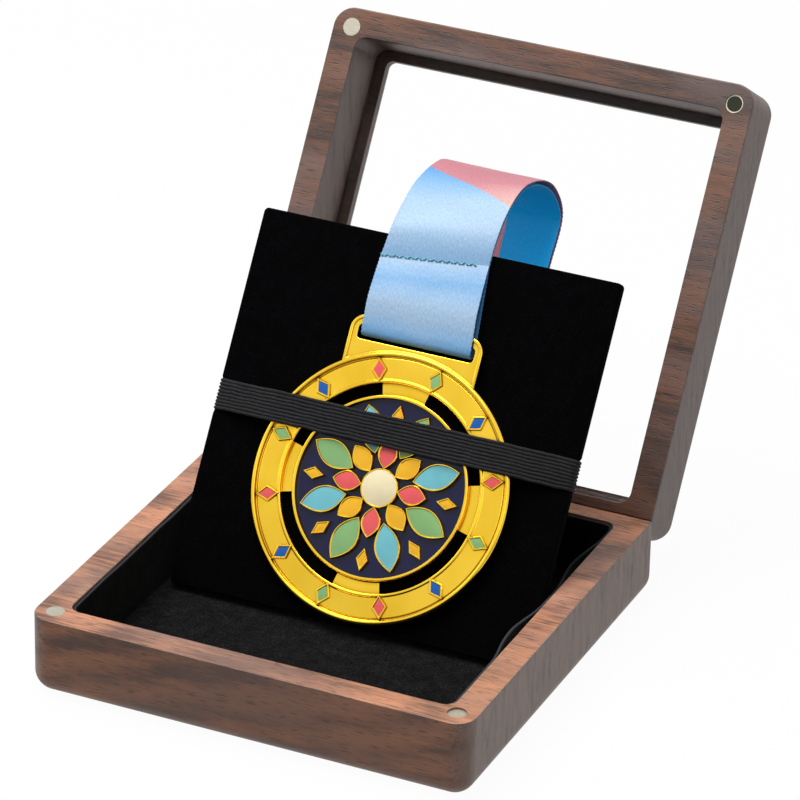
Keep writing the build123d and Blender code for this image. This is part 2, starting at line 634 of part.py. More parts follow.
def make_enamel_centre():
    """Round centre of the rosette, proud of its wall."""
    return MEDAL_PLACE * raised([Circle(CENTRE_RADIUS)], CENTRE_TOP, PETAL_TOP - ENAMEL_DEPTH)[0]


def make_medal_field():
    """Navy enamel round the rosette."""
    field = raised([Circle(FIELD_RADIUS)], FIELD_THICKNESS)[0]
    return MEDAL_PLACE * (field - rosette_walls())


def on_board(up, out):
    """A point of the board's side view, up the board and out of its back, as (y, z) in the box."""
    y = BOARD_FOOT_Y + up * UP_Y - out * UP_Z
    z = BOARD_FOOT_Z + up * UP_Z + out * UP_Y
    return (y, z)


def smooth_route(points, largest=None):
    """Straight runs in the Y-Z plane, joined by tangent arcs as large as the runs or a given radius allow."""
    route = [Vector(0, y, z) for y, z in points]
    radii = []
    for before, corner, after in zip(route, route[1:], route[2:]):
        run = min((corner - before).length, (after - corner).length)
        turn = (corner - before).get_angle(after - corner)
        room = ARC_SHARE * run / tan(radians(turn / 2))
        radii.append(room if largest is None else min(room, largest))
    return FilletPolyline(*route, radius=radii)


def cloth_strip(path, thickness, centre_x):
    """A strip of ribbon of even thickness along a route in the Y-Z plane."""
    section = Plane(origin=path @ 0, x_dir=(1, 0, 0), z_dir=path % 0) * Rectangle(RIBBON_WIDTH, thickness)
    return sweep(section, path=path).moved(Location((centre_x, 0, 0)))


RIBBON_X = BOARD_OFFSET_X + MEDAL_OFFSET_X
BAR_HIGH = MEDAL_CENTRE_UP + PLATE_TOP
BAR_LOW = BAR_HIGH - SLOT_BAR
HALF_CLOTH = RIBBON_THICKNESS / 2
CLOTH_BACK = BOARD_THICKNESS + CLOTH_CLEARANCE + HALF_CLOTH
CLOTH_FRONT = BOARD_THICKNESS + PLATE_BACK + PLATE_THICKNESS + CLOTH_CLEARANCE + HALF_CLOTH
SEAM_OUT = CLOTH_BACK + RIBBON_THICKNESS + RIBBON_LAYER_GAP
STRAND_OUT = (CLOTH_BACK + SEAM_OUT) / 2
HANK_BACK = CAVITY_BACK - WALL_LINING - HANK_BACK_GAP


def make_ribbon_sewn_loop():
    """The sewn end: down behind the plate's bar, through the slot and up the bar's front to the seam."""
    turn_up = BAR_LOW - CLOTH_CLEARANCE
    turn_radius = (CLOTH_FRONT - CLOTH_BACK) / 2
    corners = {
        "seam_back": on_board(SEAM_UP, CLOTH_BACK),
        "turn_back": on_board(turn_up, CLOTH_BACK),
        "turn_low": on_board(turn_up - turn_radius, (CLOTH_BACK + CLOTH_FRONT) / 2),
        "turn_front": on_board(turn_up, CLOTH_FRONT),
        "bar_top": on_board(BAR_HIGH + RIBBON_THICKNESS, CLOTH_FRONT),
        "meet": on_board(SEAM_UP - STITCH_MARGIN, SEAM_OUT),
        "seam_front": on_board(SEAM_UP, SEAM_OUT),
    }
    at = {name: (0, *point) for name, point in corners.items()}
    rise_corners = [corners[name] for name in ("turn_front", "bar_top", "meet", "seam_front")]
    rise = smooth_route(rise_corners, LOOP_BEND_RADIUS)
    path = Wire([
        Line(at["seam_back"], at["turn_back"]),
        ThreePointArc(at["turn_back"], at["turn_low"], at["turn_front"]),
        *rise.edges(),
    ])
    return cloth_strip(path, RIBBON_THICKNESS, RIBBON_X)


def on_arch(reach_share, rise_share, behind=0.0):
    """A point of the arch's side view, by its shares of the arch's reach and rise from the seam."""
    y, z = on_board(SEAM_UP + CLOTH_CLEARANCE, STRAND_OUT)
    return (y + reach_share * ARCH_REACH + behind, z + rise_share * ARCH_RISE)


# Side view of the free ribbon: it rises from the seam, arches over the top of the board
# and falls behind it to the folded length on the floor of the tray.
ARCH_FRONT = [
    on_board(SEAM_UP + CLOTH_CLEARANCE, STRAND_OUT), on_board(SEAM_UP + 3.0, STRAND_OUT + 0.3),
    on_arch(0.076, 0.464), on_arch(0.187, 0.821), on_arch(0.397, 1.0), on_arch(0.524, 1.0),
]
ARCH_BACK = [
    on_arch(0.524, 1.0, ARCH_SPLIT), on_arch(0.686, 0.954), on_arch(0.905, 0.596), on_arch(1.0, 0.026),
    on_arch(0.885, -0.649), (72.5, 61.5), (58.5, 44.5), (HANK_BACK + 1.6, TRAY_FLOOR + 21.5),
    (HANK_BACK - 3.1, TRAY_FLOOR + 10.0), (HANK_BACK - 3.4, TRAY_FLOOR + HANK_HEIGHT + 0.3),
]


def make_ribbon_arch(points):
    """Both strands of the ribbon, one on the other, where they arch over the board and fall behind it."""
    strands = 2 * RIBBON_THICKNESS + RIBBON_LAYER_GAP
    return cloth_strip(smooth_route(points), strands, RIBBON_X)


def make_ribbon_hank():
    """The rest of the ribbon, folded to and fro on the floor of the tray behind the board."""
    block = Box(RIBBON_WIDTH, HANK_LENGTH, HANK_HEIGHT)
    block = fillet(block.edges().filter_by(Axis.X), HANK_FOLD_RADIUS)
    return block.moved(Location((RIBBON_X, HANK_BACK - HANK_LENGTH / 2, TRAY_FLOOR + HANK_HEIGHT / 2)))


def make_seam_stitches():
    """Row of stitches that closes the sewn end."""
    pitch = RIBBON_WIDTH / (STITCH_COUNT + 1)
    out = SEAM_OUT + HALF_CLOTH + STITCH_HEIGHT / 2
    thread = Box(STITCH_LENGTH, STITCH_THREAD, STITCH_HEIGHT)
    stitches = []
    for i in range(STITCH_COUNT):
        x = MEDAL_OFFSET_X + (i - (STITCH_COUNT - 1) / 2) * pitch
        stitches.append(BOARD_PLACE * Location((x, SEAM_UP - STITCH_MARGIN / 2, out)) * thread)
    return Compound(stitches)


def build():
    hinge_x = HINGE_SPACING / 2
    base_spots = base_magnet_spots()
    lid_spots = lid_magnet_spots()
    parts = {
        "base_shell": make_base_shell(),
        "floor_lining": make_floor_lining(),
        "wall_lining": make_wall_lining(),
        "lid_frame": make_lid_frame(),
        "window_pane": make_window_pane(),
        "board_core": make_board_core(),
        "board_velvet": make_board_velvet(),
        "board_backing": make_board_backing(),
        "board_hinge_leaf": make_board_hinge_leaf(),
        "easel_pin": make_easel_pin(),
        "easel": make_easel(),
        "easel_hinge_leaf": make_easel_hinge_leaf(),
        "elastic_band": make_elastic_band(),
        "medal_body": make_medal_body(),
        "medal_field": make_medal_field(),
        "enamel_petals_coral": Compound(enamel(inner_petals()[0::2], PETAL_TOP)),
        "enamel_petals_yellow": Compound(enamel(inner_petals()[1::2], PETAL_TOP)),
        "enamel_leaves_turquoise": Compound(enamel(visible_leaves()[0::2], LEAF_TOP)),
        "enamel_leaves_green": Compound(enamel(visible_leaves()[1::2], LEAF_TOP)),
        "enamel_studs_coral": Compound(enamel(studs()[0::3], STUD_TOP)),
        "enamel_studs_blue": Compound(enamel(studs()[1::3], STUD_TOP)),
        "enamel_studs_green": Compound(enamel(studs()[2::3], STUD_TOP)),
        "enamel_dots": Compound(enamel(dots(), DOT_TOP)),
        "enamel_centre": make_enamel_centre(),
        "ribbon_sewn_loop": make_ribbon_sewn_loop(),
        "ribbon_stitches": make_seam_stitches(),
        "ribbon_arch_front": make_ribbon_arch(ARCH_FRONT),
        "ribbon_arch_back": make_ribbon_arch(ARCH_BACK),
        "ribbon_hank": make_ribbon_hank(),
    }
    for name, x in (("left", -hinge_x), ("right", hinge_x)):
        parts[f"hinge_barrel_base_{name}"] = hinge_barrel(-1, x)
        parts[f"hinge_barrel_lid_{name}"] = hinge_barrel(1, x)
        parts[f"hinge_pin_{name}"] = hinge_pin(x)
        parts[f"base_magnet_{name}"] = magnet_disc(base_spots[name], -1)
        parts[f"lid_magnet_{name}"] = open_lid(magnet_disc(lid_spots[name], 1))
    return parts


if __name__ == "__main__":
    os.makedirs("parts", exist_ok=True)
    for node, shape in build().items():
        export_step(shape, f"parts/{node}.step")
    print("lid axis", round(AXIS_Y, 4), round(AXIS_Z, 4), "closes", LID_OPENING)
    print("easel foot", EASEL_FOOT, "folds", round(EASEL_RISE - FOLDED_EASEL_RISE, 4))
    print("easel pin", round(EASEL_PIN_Y, 4), round(EASEL_PIN_Z, 4), "board turns", round(90 - BOARD_LEAN, 4))
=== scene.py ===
from math import atan2, cos, hypot, pi, radians, sin

import bmesh
import bpy
from mathutils import Matrix, Vector, noise


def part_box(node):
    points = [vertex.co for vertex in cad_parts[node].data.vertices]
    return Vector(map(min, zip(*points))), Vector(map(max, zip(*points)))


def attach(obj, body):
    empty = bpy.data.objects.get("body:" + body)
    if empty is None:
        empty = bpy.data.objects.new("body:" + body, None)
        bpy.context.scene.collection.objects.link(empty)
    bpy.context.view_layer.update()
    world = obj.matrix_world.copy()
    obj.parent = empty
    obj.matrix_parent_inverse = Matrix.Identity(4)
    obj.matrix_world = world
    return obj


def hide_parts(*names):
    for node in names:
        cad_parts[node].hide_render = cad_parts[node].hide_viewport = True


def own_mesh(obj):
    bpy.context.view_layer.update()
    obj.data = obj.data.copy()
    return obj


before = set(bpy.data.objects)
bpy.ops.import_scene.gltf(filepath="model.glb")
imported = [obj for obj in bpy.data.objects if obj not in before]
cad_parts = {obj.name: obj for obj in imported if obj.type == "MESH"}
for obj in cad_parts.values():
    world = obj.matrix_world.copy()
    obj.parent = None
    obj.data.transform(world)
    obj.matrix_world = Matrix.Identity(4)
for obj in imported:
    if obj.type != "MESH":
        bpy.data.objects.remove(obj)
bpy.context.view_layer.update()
MM = 0.001


# Studio: a plain pale floor under soft lamps, seen from the photograph's viewing angle.
# The floor and the room look white to the camera and in reflections, with no more light on the box.
def add_node(tree, kind, inputs=None, **settings):
    """Adds a node. An input is given by its name or number, as a value or as the output to link from."""
    node = tree.nodes.new(kind)
    for key, value in settings.items():
        setattr(node, key, value)
    for key, value in (inputs or {}).items():
        if isinstance(value, bpy.types.NodeSocket):
            tree.links.new(value, node.inputs[key])
        else:
            node.inputs[key].default_value = value
    return node


def arithmetic(tree, operation, *values):
    """One step of arithmetic in a node tree."""
    return add_node(tree, "ShaderNodeMath", dict(enumerate(values)), operation=operation).outputs[0]


def coordinates(tree, source):
    """Where a point is, or which way it faces."""
    return add_node(tree, "ShaderNodeTexCoord").outputs[source]


def parts_of(tree, vector):
    """A vector's X, Y and Z."""
    return add_node(tree, "ShaderNodeSeparateXYZ", {0: vector}).outputs


def spread(tree, value, low, high):
    """0 at the low value and 1 at the high one, held beyond them."""
    given = {"Value": value, "From Min": low, "From Max": high}
    return add_node(tree, "ShaderNodeMapRange", given).outputs[0]


def paint(red, green, blue):
    """A colour written as it looks on a screen, from 0 to 255, as the linear colour that a shader takes."""
    def linear(share):
        return share / 12.92 if share <= 0.04045 else ((share + 0.055) / 1.055) ** 2.4
    return (linear(red / 255), linear(green / 255), linear(blue / 255), 1.0)


def grey(value):
    return (value, value, value, 1.0)


def new_material(name):
    """An empty node material: (material, tree)."""
    material = bpy.data.materials.new(name)
    material.use_nodes = True
    material.node_tree.nodes.clear()
    return material, material.node_tree


def seen_directly(tree):
    """1 for the camera, reflections and what shows through glass, 0 for light that falls on things."""
    path = add_node(tree, "ShaderNodeLightPath").outputs
    seen = arithmetic(tree, "MAXIMUM", path["Is Camera Ray"], path["Is Glossy Ray"])
    return arithmetic(tree, "MAXIMUM", seen, path["Is Transmission Ray"])


def linked(name, data):
    """A new object in the scene."""
    thing = bpy.data.objects.new(name, data)
    bpy.context.collection.objects.link(thing)
    return thing


FLOOR_HALF = 3.0
FLOOR_PAINT = 0.2
FLOOR_WHITE_SHARE = 0.86
FLOOR_WHITE = 1.12
ROOM_LIGHT = 0.14
FRONT_SHADE = 0.72

floor_material, tree = new_material("pale floor")
floor_paint = add_node(tree, "ShaderNodeBsdfDiffuse", {"Color": grey(FLOOR_PAINT)})
white = add_node(tree, "ShaderNodeEmission", {"Color": grey(1.0), "Strength": FLOOR_WHITE})
share = arithmetic(tree, "MULTIPLY", seen_directly(tree), FLOOR_WHITE_SHARE)
floor_mix = add_node(tree, "ShaderNodeMixShader", {0: share, 1: floor_paint.outputs[0], 2: white.outputs[0]})
add_node(tree, "ShaderNodeOutputMaterial", {"Surface": floor_mix.outputs[0]})

floor_mesh = bpy.data.meshes.new("studio_floor")
corners = [(x * FLOOR_HALF, y * FLOOR_HALF, 0) for x, y in ((-1, -1), (1, -1), (1, 1), (-1, 1))]
floor_mesh.from_pydata(corners, [], [(0, 1, 2, 3)])
floor_mesh.materials.append(floor_material)
floor = linked("studio_floor", floor_mesh)

room = bpy.data.worlds.new("white room")
bpy.context.scene.world = room
room.use_nodes = True
tree = room.node_tree
tree.nodes.clear()
heading = parts_of(tree, coordinates(tree, "Generated"))
low_part = spread(tree, heading["Z"], 0.5, 0.05)
front_part = spread(tree, heading["Y"], -0.25, -0.75)
mirrored = add_node(tree, "ShaderNodeLightPath").outputs["Is Glossy Ray"]
shade = arithmetic(tree, "MULTIPLY", arithmetic(tree, "MULTIPLY", low_part, front_part), mirrored)
bright = arithmetic(tree, "MULTIPLY_ADD", shade, -FRONT_SHADE, 1.0)
bright = arithmetic(tree, "MULTIPLY", bright, seen_directly(tree))
room_strength = arithmetic(tree, "MAXIMUM", bright, ROOM_LIGHT)
room_light = add_node(tree, "ShaderNodeBackground", {"Color": grey(1.0), "Strength": room_strength})
add_node(tree, "ShaderNodeOutputWorld", {"Surface": room_light.outputs[0]})


def soft_lamp(name, place, aim, size, power):
    """A square soft lamp that points from its place at its aim."""
    lamp = bpy.data.lights.new(name, "AREA")
    lamp.shape = "SQUARE"
    lamp.size = size
    lamp.energy = power
    turn = (Vector(aim) - Vector(place)).to_track_quat("-Z", "Y").to_matrix().to_4x4()
    linked(name, lamp).matrix_world = Matrix.Translation(place) @ turn


soft_lamp("overhead lamp", (-0.22, -0.05, 1.05), (0, 0, 0.03), 0.75, 14.0)
soft_lamp("left lamp", (-0.95, -0.5, 0.6), (0, 0, 0.05), 0.5, 1.6)
soft_lamp("front lamp", (0.3, -1.0, 0.9), (0, 0, 0.05), 0.5, 1.2)


def turn_to(x_axis, y_axis, z_axis):
    """The turn that brings X, Y and Z to the given axes."""
    return Matrix((x_axis, y_axis, z_axis)).transposed().to_4x4()


CAMERA_TURN = radians(24.27)
CAMERA_RISE = radians(27.33)
CAMERA_ROLL = radians(1.22)
CAMERA_DISTANCE = 1.28331
CAMERA_TARGET = Vector((0.01321, 0, 0.07137))

level = Vector((cos(CAMERA_TURN), sin(CAMERA_TURN), 0))
back = Vector((level.y * cos(CAMERA_RISE), -level.x * cos(CAMERA_RISE), sin(CAMERA_RISE)))
upright = back.cross(level)
right = level * cos(CAMERA_ROLL) + upright * sin(CAMERA_ROLL)
up = upright * cos(CAMERA_ROLL) - level * sin(CAMERA_ROLL)
camera_data = bpy.data.cameras.new("camera")
camera_data.sensor_width = 36.0
camera_data.lens = 233.28
camera_data.clip_start = 0.05
camera = linked("camera", camera_data)
camera.matrix_world = Matrix.Translation(CAMERA_TARGET + back * CAMERA_DISTANCE) @ turn_to(right, up, back)
bpy.context.scene.camera = camera
bpy.context.scene.view_settings.view_transform = "Standard"


# Walnut case: the base is milled from one block and the lid from another, both with the grain along X.
# The wood is oiled and sanded, so its rims have slightly eased edges.
# Painted light and shade: the end grain is paler and greyer than the sides as a sheen, the base's sides are
# darker than its top, the hollows are darker, and the lid's whole palette is darker than the base's.
def ramp(tree, factor, stops):
    """A colour ramp through (place, colour) stops."""
    node = add_node(tree, "ShaderNodeValToRGB", {"Fac": factor})
    elements = node.color_ramp.elements
    elements[0].position, elements[0].color = stops[0]
    elements[1].position, elements[1].color = stops[-1]
    for place, colour in stops[1:-1]:
        elements.new(place).color = colour
    return node.outputs["Color"]


def mapped(tree, scale=(1, 1, 1), turn=(0, 0, 0), shift=(0, 0, 0), source="Object"):
    """The piece's own coordinates, in metres, scaled, turned and shifted."""
    inputs = {"Vector": coordinates(tree, source), "Location": shift, "Rotation": turn, "Scale": scale}
    return add_node(tree, "ShaderNodeMapping", inputs).outputs["Vector"]


def noise_of(tree, vector, scale=1.0, detail=2.0, roughness=0.5):
    inputs = {"Vector": vector, "Scale": scale, "Detail": detail, "Roughness": roughness}
    return add_node(tree, "ShaderNodeTexNoise", inputs).outputs["Fac"]


def mixed(tree, factor, first, second, blend="MIX"):
    """Two colours mixed by a factor."""
    node = add_node(tree, "ShaderNodeMix", {0: factor, 6: first, 7: second}, data_type="RGBA",
                    blend_type=blend)
    return node.outputs[2]


def tinted(tree, colour, shade):
    """A colour multiplied by a shade."""
    return mixed(tree, 1.0, colour, shade, "MULTIPLY")


def mixed_paint(first, second, share):
    """A fixed colour between two colours."""
    return tuple(a + (b - a) * share for a, b in zip(first, second))


def swung(tree, wave, amount, middle):
    """A middle value that swings with a wave between 0 and 1."""
    return arithmetic(tree, "MULTIPLY_ADD", arithmetic(tree, "SUBTRACT", wave, 0.5), amount, middle)


def vector_math(tree, operation, *values):
    """One step of vector arithmetic; a length comes out as a number."""
    node = add_node(tree, "ShaderNodeVectorMath", dict(enumerate(values)), operation=operation)
    return node.outputs["Value" if operation == "LENGTH" else "Vector"]


def bump(tree, height, distance, strength):
    """Fine relief from a height, with its depth in metres."""
    inputs = {"Height": height, "Distance": distance, "Strength": strength}
    return add_node(tree, "ShaderNodeBump", inputs).outputs["Normal"]


def shaded(material, tree, **inputs):
    """Closes a material with one Principled shader; names are its sockets, with _ for a space."""
    sockets = {key.replace("_", " "): value for key, value in inputs.items()}
    shader = add_node(tree, "ShaderNodeBsdfPrincipled", sockets)
    add_node(tree, "ShaderNodeOutputMaterial", {"Surface": shader.outputs[0]})
    return material


def painted_crevice_shade(tree, reach, stops):
    """Painted shade: darker colour where a surface is shut in by others within a reach in metres."""
    node = add_node(tree, "ShaderNodeAmbientOcclusion", {"Distance": reach}, samples=8)
    return ramp(tree, node.outputs["AO"], stops)


RING_SPACING = 0.0105
RING_WANDER = 0.016
HEART_PLACE = (0, 0.05, 0.12)


def walnut(name, turn, tilt, light, dark, painted_side_shade, painted_end_sheen):
    """Oiled walnut with its grain along X: soft growth bands, fine fibres and short dark pores."""
    material, tree = new_material(name)

    def grain(scale, detail, shift=(0, 0, 0), roughness=0.5, lean=0.0):
        place = mapped(tree, scale, (turn + lean, 0, 0), shift)
        return noise_of(tree, place, detail=detail, roughness=roughness)

    def shade(share):
        return mixed_paint(dark, light, share)

    block = mapped(tree, turn=(turn, tilt, -0.3 * tilt), shift=HEART_PLACE)
    from_heart = vector_math(tree, "LENGTH", vector_math(tree, "MULTIPLY", block, (0, 1, 1)))
    wandered = arithmetic(tree, "MULTIPLY_ADD", grain((9, 24, 24), 3), RING_WANDER * 2, from_heart)
    wave = arithmetic(tree, "SINE", arithmetic(tree, "MULTIPLY", wandered, 2 * pi / RING_SPACING))
    band = arithmetic(tree, "MULTIPLY_ADD", wave, 0.27, 0.5)
    band = swung(tree, grain((14, 70, 70), 3, (3, 1, 2)), 1.7, band)
    fibre = grain((60, 1000, 330), 4, roughness=0.7)
    band = swung(tree, fibre, 2.3, band)
    colour = ramp(tree, band, [(0.05, dark), (0.5, shade(0.62)), (0.95, light)])
    cool = ramp(tree, grain((22, 60, 60), 2, (8, 2, 6)), [(0.42, grey(0.0)), (0.66, grey(0.55))])
    colour = mixed(tree, cool, colour, mixed_paint(shade(0.5), paint(132, 118, 118), 0.5))
    pores = ramp(tree, grain((240, 2900, 2900), 1, (5, 5, 5)), [(0.58, grey(0.0)), (0.68, grey(1.0))])
    deep = mixed_paint(dark, grey(0.0), 0.6)
    colour = mixed(tree, arithmetic(tree, "MULTIPLY", pores, 0.75), colour, deep)

    facing = parts_of(tree, coordinates(tree, "Normal"))
    end_grain = arithmetic(tree, "ABSOLUTE", facing["X"])
    streak = grain((30, 460, 80), 4, roughness=0.65, lean=0.3)
    cut = ramp(tree, streak, [(0.3, shade(0.1)), (0.46, shade(0.6)), (0.7, shade(0.85))])
    colour = mixed(tree, arithmetic(tree, "MULTIPLY", end_grain, end_grain), colour, cut)
    # Painted sheen: the end faces lose colour and turn greyer.
    sheen_greying = arithmetic(tree, "MULTIPLY_ADD", end_grain, -0.48, 1.0)
    colour = add_node(tree, "ShaderNodeHueSaturation", {"Saturation": sheen_greying, "Color": colour}).outputs[0]
    # Painted light and shade: faces that point up keep full colour, side faces are painted darker, end faces
    # paler.
    level_part = arithmetic(tree, "ABSOLUTE", facing["Z"])
    tone = arithmetic(tree, "MULTIPLY_ADD", level_part, 1 - painted_side_shade, painted_side_shade)
    tone = arithmetic(tree, "MAXIMUM", tone, arithmetic(tree, "MULTIPLY", end_grain, painted_end_sheen))
    colour = tinted(tree, colour, tone)
    # Painted shade in the wood's hollows and inner corners.
    colour = tinted(tree, colour, painted_crevice_shade(tree, 0.0035, [(0.15, grey(0.25)), (0.6, grey(1.0))]))
    relief = arithmetic(tree, "SUBTRACT", arithmetic(tree, "MULTIPLY", fibre, 0.4), pores)
    gloss = arithmetic(tree, "MULTIPLY_ADD", fibre, 0.2, 0.38)
    return shaded(material, tree, Base_Color=colour, Roughness=gloss, Normal=bump(tree, relief, 0.00005, 0.6))


def merged_copy(node):
    """A copy of a CAD node's mesh with its triangles merged into whole flat faces."""
    bm = bmesh.new()
    bm.from_mesh(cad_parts[node].data)
    bmesh.ops.remove_doubles(bm, verts=bm.verts, dist=1e-6)
    bmesh.ops.dissolve_limit(bm, angle_limit=radians(0.5), verts=bm.verts, edges=bm.edges)
    return bm


def smooth_by_angle(mesh, angle=radians(32)):
    """Smooth shading that keeps corners above an angle sharp."""
    mesh.shade_smooth()
    mesh.set_sharp_from_angle(angle=angle)


def mesh_of(bm, name, place=None):
    """The smooth mesh of what has been built, put in its place."""
    mesh = bpy.data.meshes.new(name)
    bm.to_mesh(mesh)
    bm.free()
    if place is not None:
        mesh.transform(place)
    smooth_by_angle(mesh)
    return mesh


def applied(source):
    """The plain mesh of an object with its modifiers applied; the object itself is removed."""
    evaluated = source.evaluated_get(bpy.context.evaluated_depsgraph_get())
    mesh = bpy.data.meshes.new_from_object(evaluated)
    bpy.data.objects.remove(source)
    return mesh


def area_weighted(mesh):
    """The same mesh with normals weighted by face area, so that wide faces look flat beside eased edges."""
    source = linked(mesh.name, mesh)
    source.modifiers.new("weighted", "WEIGHTED_NORMAL").keep_sharp = True
    return applied(source)


def coat(mesh, material):
    """Gives a mesh one finish."""
    mesh.materials.clear()
    mesh.materials.append(material)


def finish_node(node, material):
    """Gives a CAD node its finish."""
    coat(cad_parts[node].data, material)


def new_piece(name, mesh, material, body, stands_for=()):
    """A finished piece on its body: its place is in its mesh."""
    coat(mesh, material)
    piece = linked(name, mesh)
    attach(piece, body)
    if stands_for:
        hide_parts(*stands_for)
    return piece


LID_OPENING = radians(122.3)
HINGE_LINE = Vector((0, 55.3, 21.8)) * MM
BASE_FACE = 0.0217
LID_FACE = 0.0219
EASED_EDGE = 0.00035
BORES = [Vector((x, y)) * MM for x, y in ((-25, 55.3), (25, 55.3), (-54.7, -54.7), (54.7, -54.7))]
BORE_ROOM = 0.0042


def eased(node, name, face_height, unturned, material, body):
    """A wooden piece whose edges along its meeting face are eased, except round the small bores."""
    bm = merged_copy(node)
    edges = []
    for edge in bm.edges:
        ends = [unturned @ vert.co for vert in edge.verts]
        middle = ((ends[0] + ends[1]) / 2).xy
        on_face = all(abs(end.z - face_height) < 1e-5 for end in ends)
        clear = all((middle - bore).length > BORE_ROOM for bore in BORES)
        if on_face and clear and len(edge.link_faces) == 2 and edge.calc_face_angle(0) > radians(30):
            edges.append(edge)
    bmesh.ops.bevel(bm, geom=edges, offset=EASED_EDGE, segments=2, profile=0.5, affect="EDGES")
    return new_piece(name, area_weighted(mesh_of(bm, name)), material, body, [node])


still = Matrix.Identity(4)
shut = Matrix.Translation(HINGE_LINE) @ Matrix.Rotation(LID_OPENING, 4, "X") @ Matrix.Translation(-HINGE_LINE)
# Painted shade: the lid's palette is darker than the base's, and its end faces are painted much paler as a
# sheen.
walnut_base = walnut("oiled walnut, base", turn=0.0, tilt=radians(20), light=paint(198, 136, 102),
                     dark=paint(98, 66, 52), painted_side_shade=0.66, painted_end_sheen=0.9)
walnut_lid = walnut("oiled walnut, lid, painted shade", turn=LID_OPENING, tilt=radians(8), light=paint(114, 73, 51),
                    dark=paint(50, 31, 23), painted_side_shade=1.0, painted_end_sheen=1.7)
eased("base_shell", "walnut_base", BASE_FACE, still, walnut_base, "base")
eased("lid_frame", "walnut_lid", LID_FACE, shut, walnut_lid, "lid")


# Window pane: clear cast acrylic, 2 mm thick, glued on the lid's lip.
# It is almost unseen: only a faint reflection shows that the window is closed, and light falls through it.
material, tree = new_material("clear acrylic")
pane = shaded(material, tree, Base_Color=grey(1.0), Roughness=0.0, IOR=1.12, Transmission_Weight=1.0,
              Alpha=0.12)
finish_node("window_pane", pane)


# Hardware: brass barrel hinges on steel pins, and nickel-plated magnets pressed into the front corners.
# The magnets are satin; the lid's right one has a painted dark reflection inside its bright plated edge.
def metal(name, colour, roughness, grain):
    """Plain metal with a fine brushed relief."""
    material, tree = new_material(name)
    brushed = noise_of(tree, mapped(tree, scale=(400, 2500, 2500)), detail=3)
    gloss = arithmetic(tree, "MULTIPLY_ADD", brushed, grain, roughness)
    tone = tinted(tree, colour, ramp(tree, brushed, [(0.25, grey(0.86)), (0.75, grey(1.06))]))
    normal = bump(tree, brushed, 0.00001, 0.4)
    return shaded(material, tree, Base_Color=tone, Metallic=1.0, Roughness=gloss, Normal=normal)


hinge_brass = metal("hinge brass", paint(196, 158, 84), 0.28, 0.15)
pin_steel = metal("pin steel", paint(170, 172, 176), 0.25, 0.15)
leaf_steel = metal("black oxide steel", paint(70, 72, 76), 0.35, 0.2)
magnet_nickel = metal("satin nickel", paint(168, 164, 150), 0.4, 0.2)

magnet_low, magnet_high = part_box("lid_magnet_right")
magnet_radius = (magnet_high.x - magnet_low.x) / 2
lid_axis = (0, sin(LID_OPENING), cos(LID_OPENING))
# Painted reflection: a dark face inside a pale ring on the lid's right magnet.
material, tree = new_material("nickel magnet, painted dark reflection")
place = mapped(tree, shift=tuple((magnet_low + magnet_high) / -2))
from_axis = vector_math(tree, "LENGTH", vector_math(tree, "CROSS_PRODUCT", place, lid_axis))
tone = ramp(tree, arithmetic(tree, "DIVIDE", from_axis, magnet_radius),
            [(0.84, paint(46, 49, 42)), (0.9, paint(206, 196, 176))])
painted_dark_magnet = shaded(material, tree, Base_Color=tone, Metallic=1.0, Roughness=0.4)

for finish, nodes in (
    (hinge_brass, ("hinge_barrel_base_left", "hinge_barrel_lid_left")),
    (hinge_brass, ("hinge_barrel_base_right", "hinge_barrel_lid_right")),
    (pin_steel, ("hinge_pin_left", "hinge_pin_right", "easel_pin")),
    (leaf_steel, ("board_hinge_leaf", "easel_hinge_leaf")),
    (magnet_nickel, ("base_magnet_left", "base_magnet_right", "lid_magnet_left")),
    (painted_dark_magnet, ("lid_magnet_right",)),
):
    for node in nodes:
        finish_node(node, finish)


# Tray linings: black velvet card on the floor and a velvet strip glued round the walls.
# The nap is mottled where it has been brushed, and the strip stands a little off the right wall.
def skin(loops, wrap=False, caps=True):
    """A skin through closed loops of equally many points: (points, faces)."""
    count = len(loops[0])
    points = [Vector(point) for loop in loops for point in loop]
    faces = []
    spans = len(loops) if wrap else len(loops) - 1
    for i in range(spans):
        a, b = i * count, ((i + 1) % len(loops)) * count
        for j in range(count):
            k = (j + 1) % count
            faces.append((a + j, a + k, b + k, b + j))
    if caps and not wrap:
        faces.append(tuple(reversed(range(count))))
        faces.append(tuple(range(len(points) - count, len(points))))
    return points, faces


def solid_mesh(name, skins, place=None):
    """A mesh of closed skins, faces outwards, put in its place."""
    bm = bmesh.new()
    for points, faces in skins:
        verts = [bm.verts.new(point) for point in points]
        for face in faces:
            bm.faces.new([verts[i] for i in face])
    bmesh.ops.recalc_face_normals(bm, faces=bm.faces)
    return mesh_of(bm, name, place)


def quarter_turn(cx, cy, radius, start, steps=8):
    """Points on a quarter of a circle, anticlockwise from a start in degrees."""
    angles = [radians(start + 90 * i / steps) for i in range(steps + 1)]
    return [(cx + radius * cos(angle), cy + radius * sin(angle)) for angle in angles]


def rounded_rectangle(x0, x1, y0, y1, corner, step=1.5, arc_steps=8):
    """Points round a rectangle with round corners, anticlockwise, at an even step along the sides."""
    centres = [(x1 - corner, y0 + corner, -90), (x1 - corner, y1 - corner, 0),
               (x0 + corner, y1 - corner, 90), (x0 + corner, y0 + corner, 180)]
    turns = [quarter_turn(cx, cy, corner, start, arc_steps) for cx, cy, start in centres]
    points = []
    for turn, following in zip(turns, turns[1:] + turns[:1]):
        (xa, ya), (xb, yb) = turn[-1], following[0]
        count = max(1, round(hypot(xb - xa, yb - ya) / step))
        side = [(xa + (xb - xa) * j / count, ya + (yb - ya) * j / count) for j in range(1, count)]
        points += turn + side
    return points


def raised(outline, height):
    """An outline at a height."""
    return [(x, y, height) for x, y in outline]


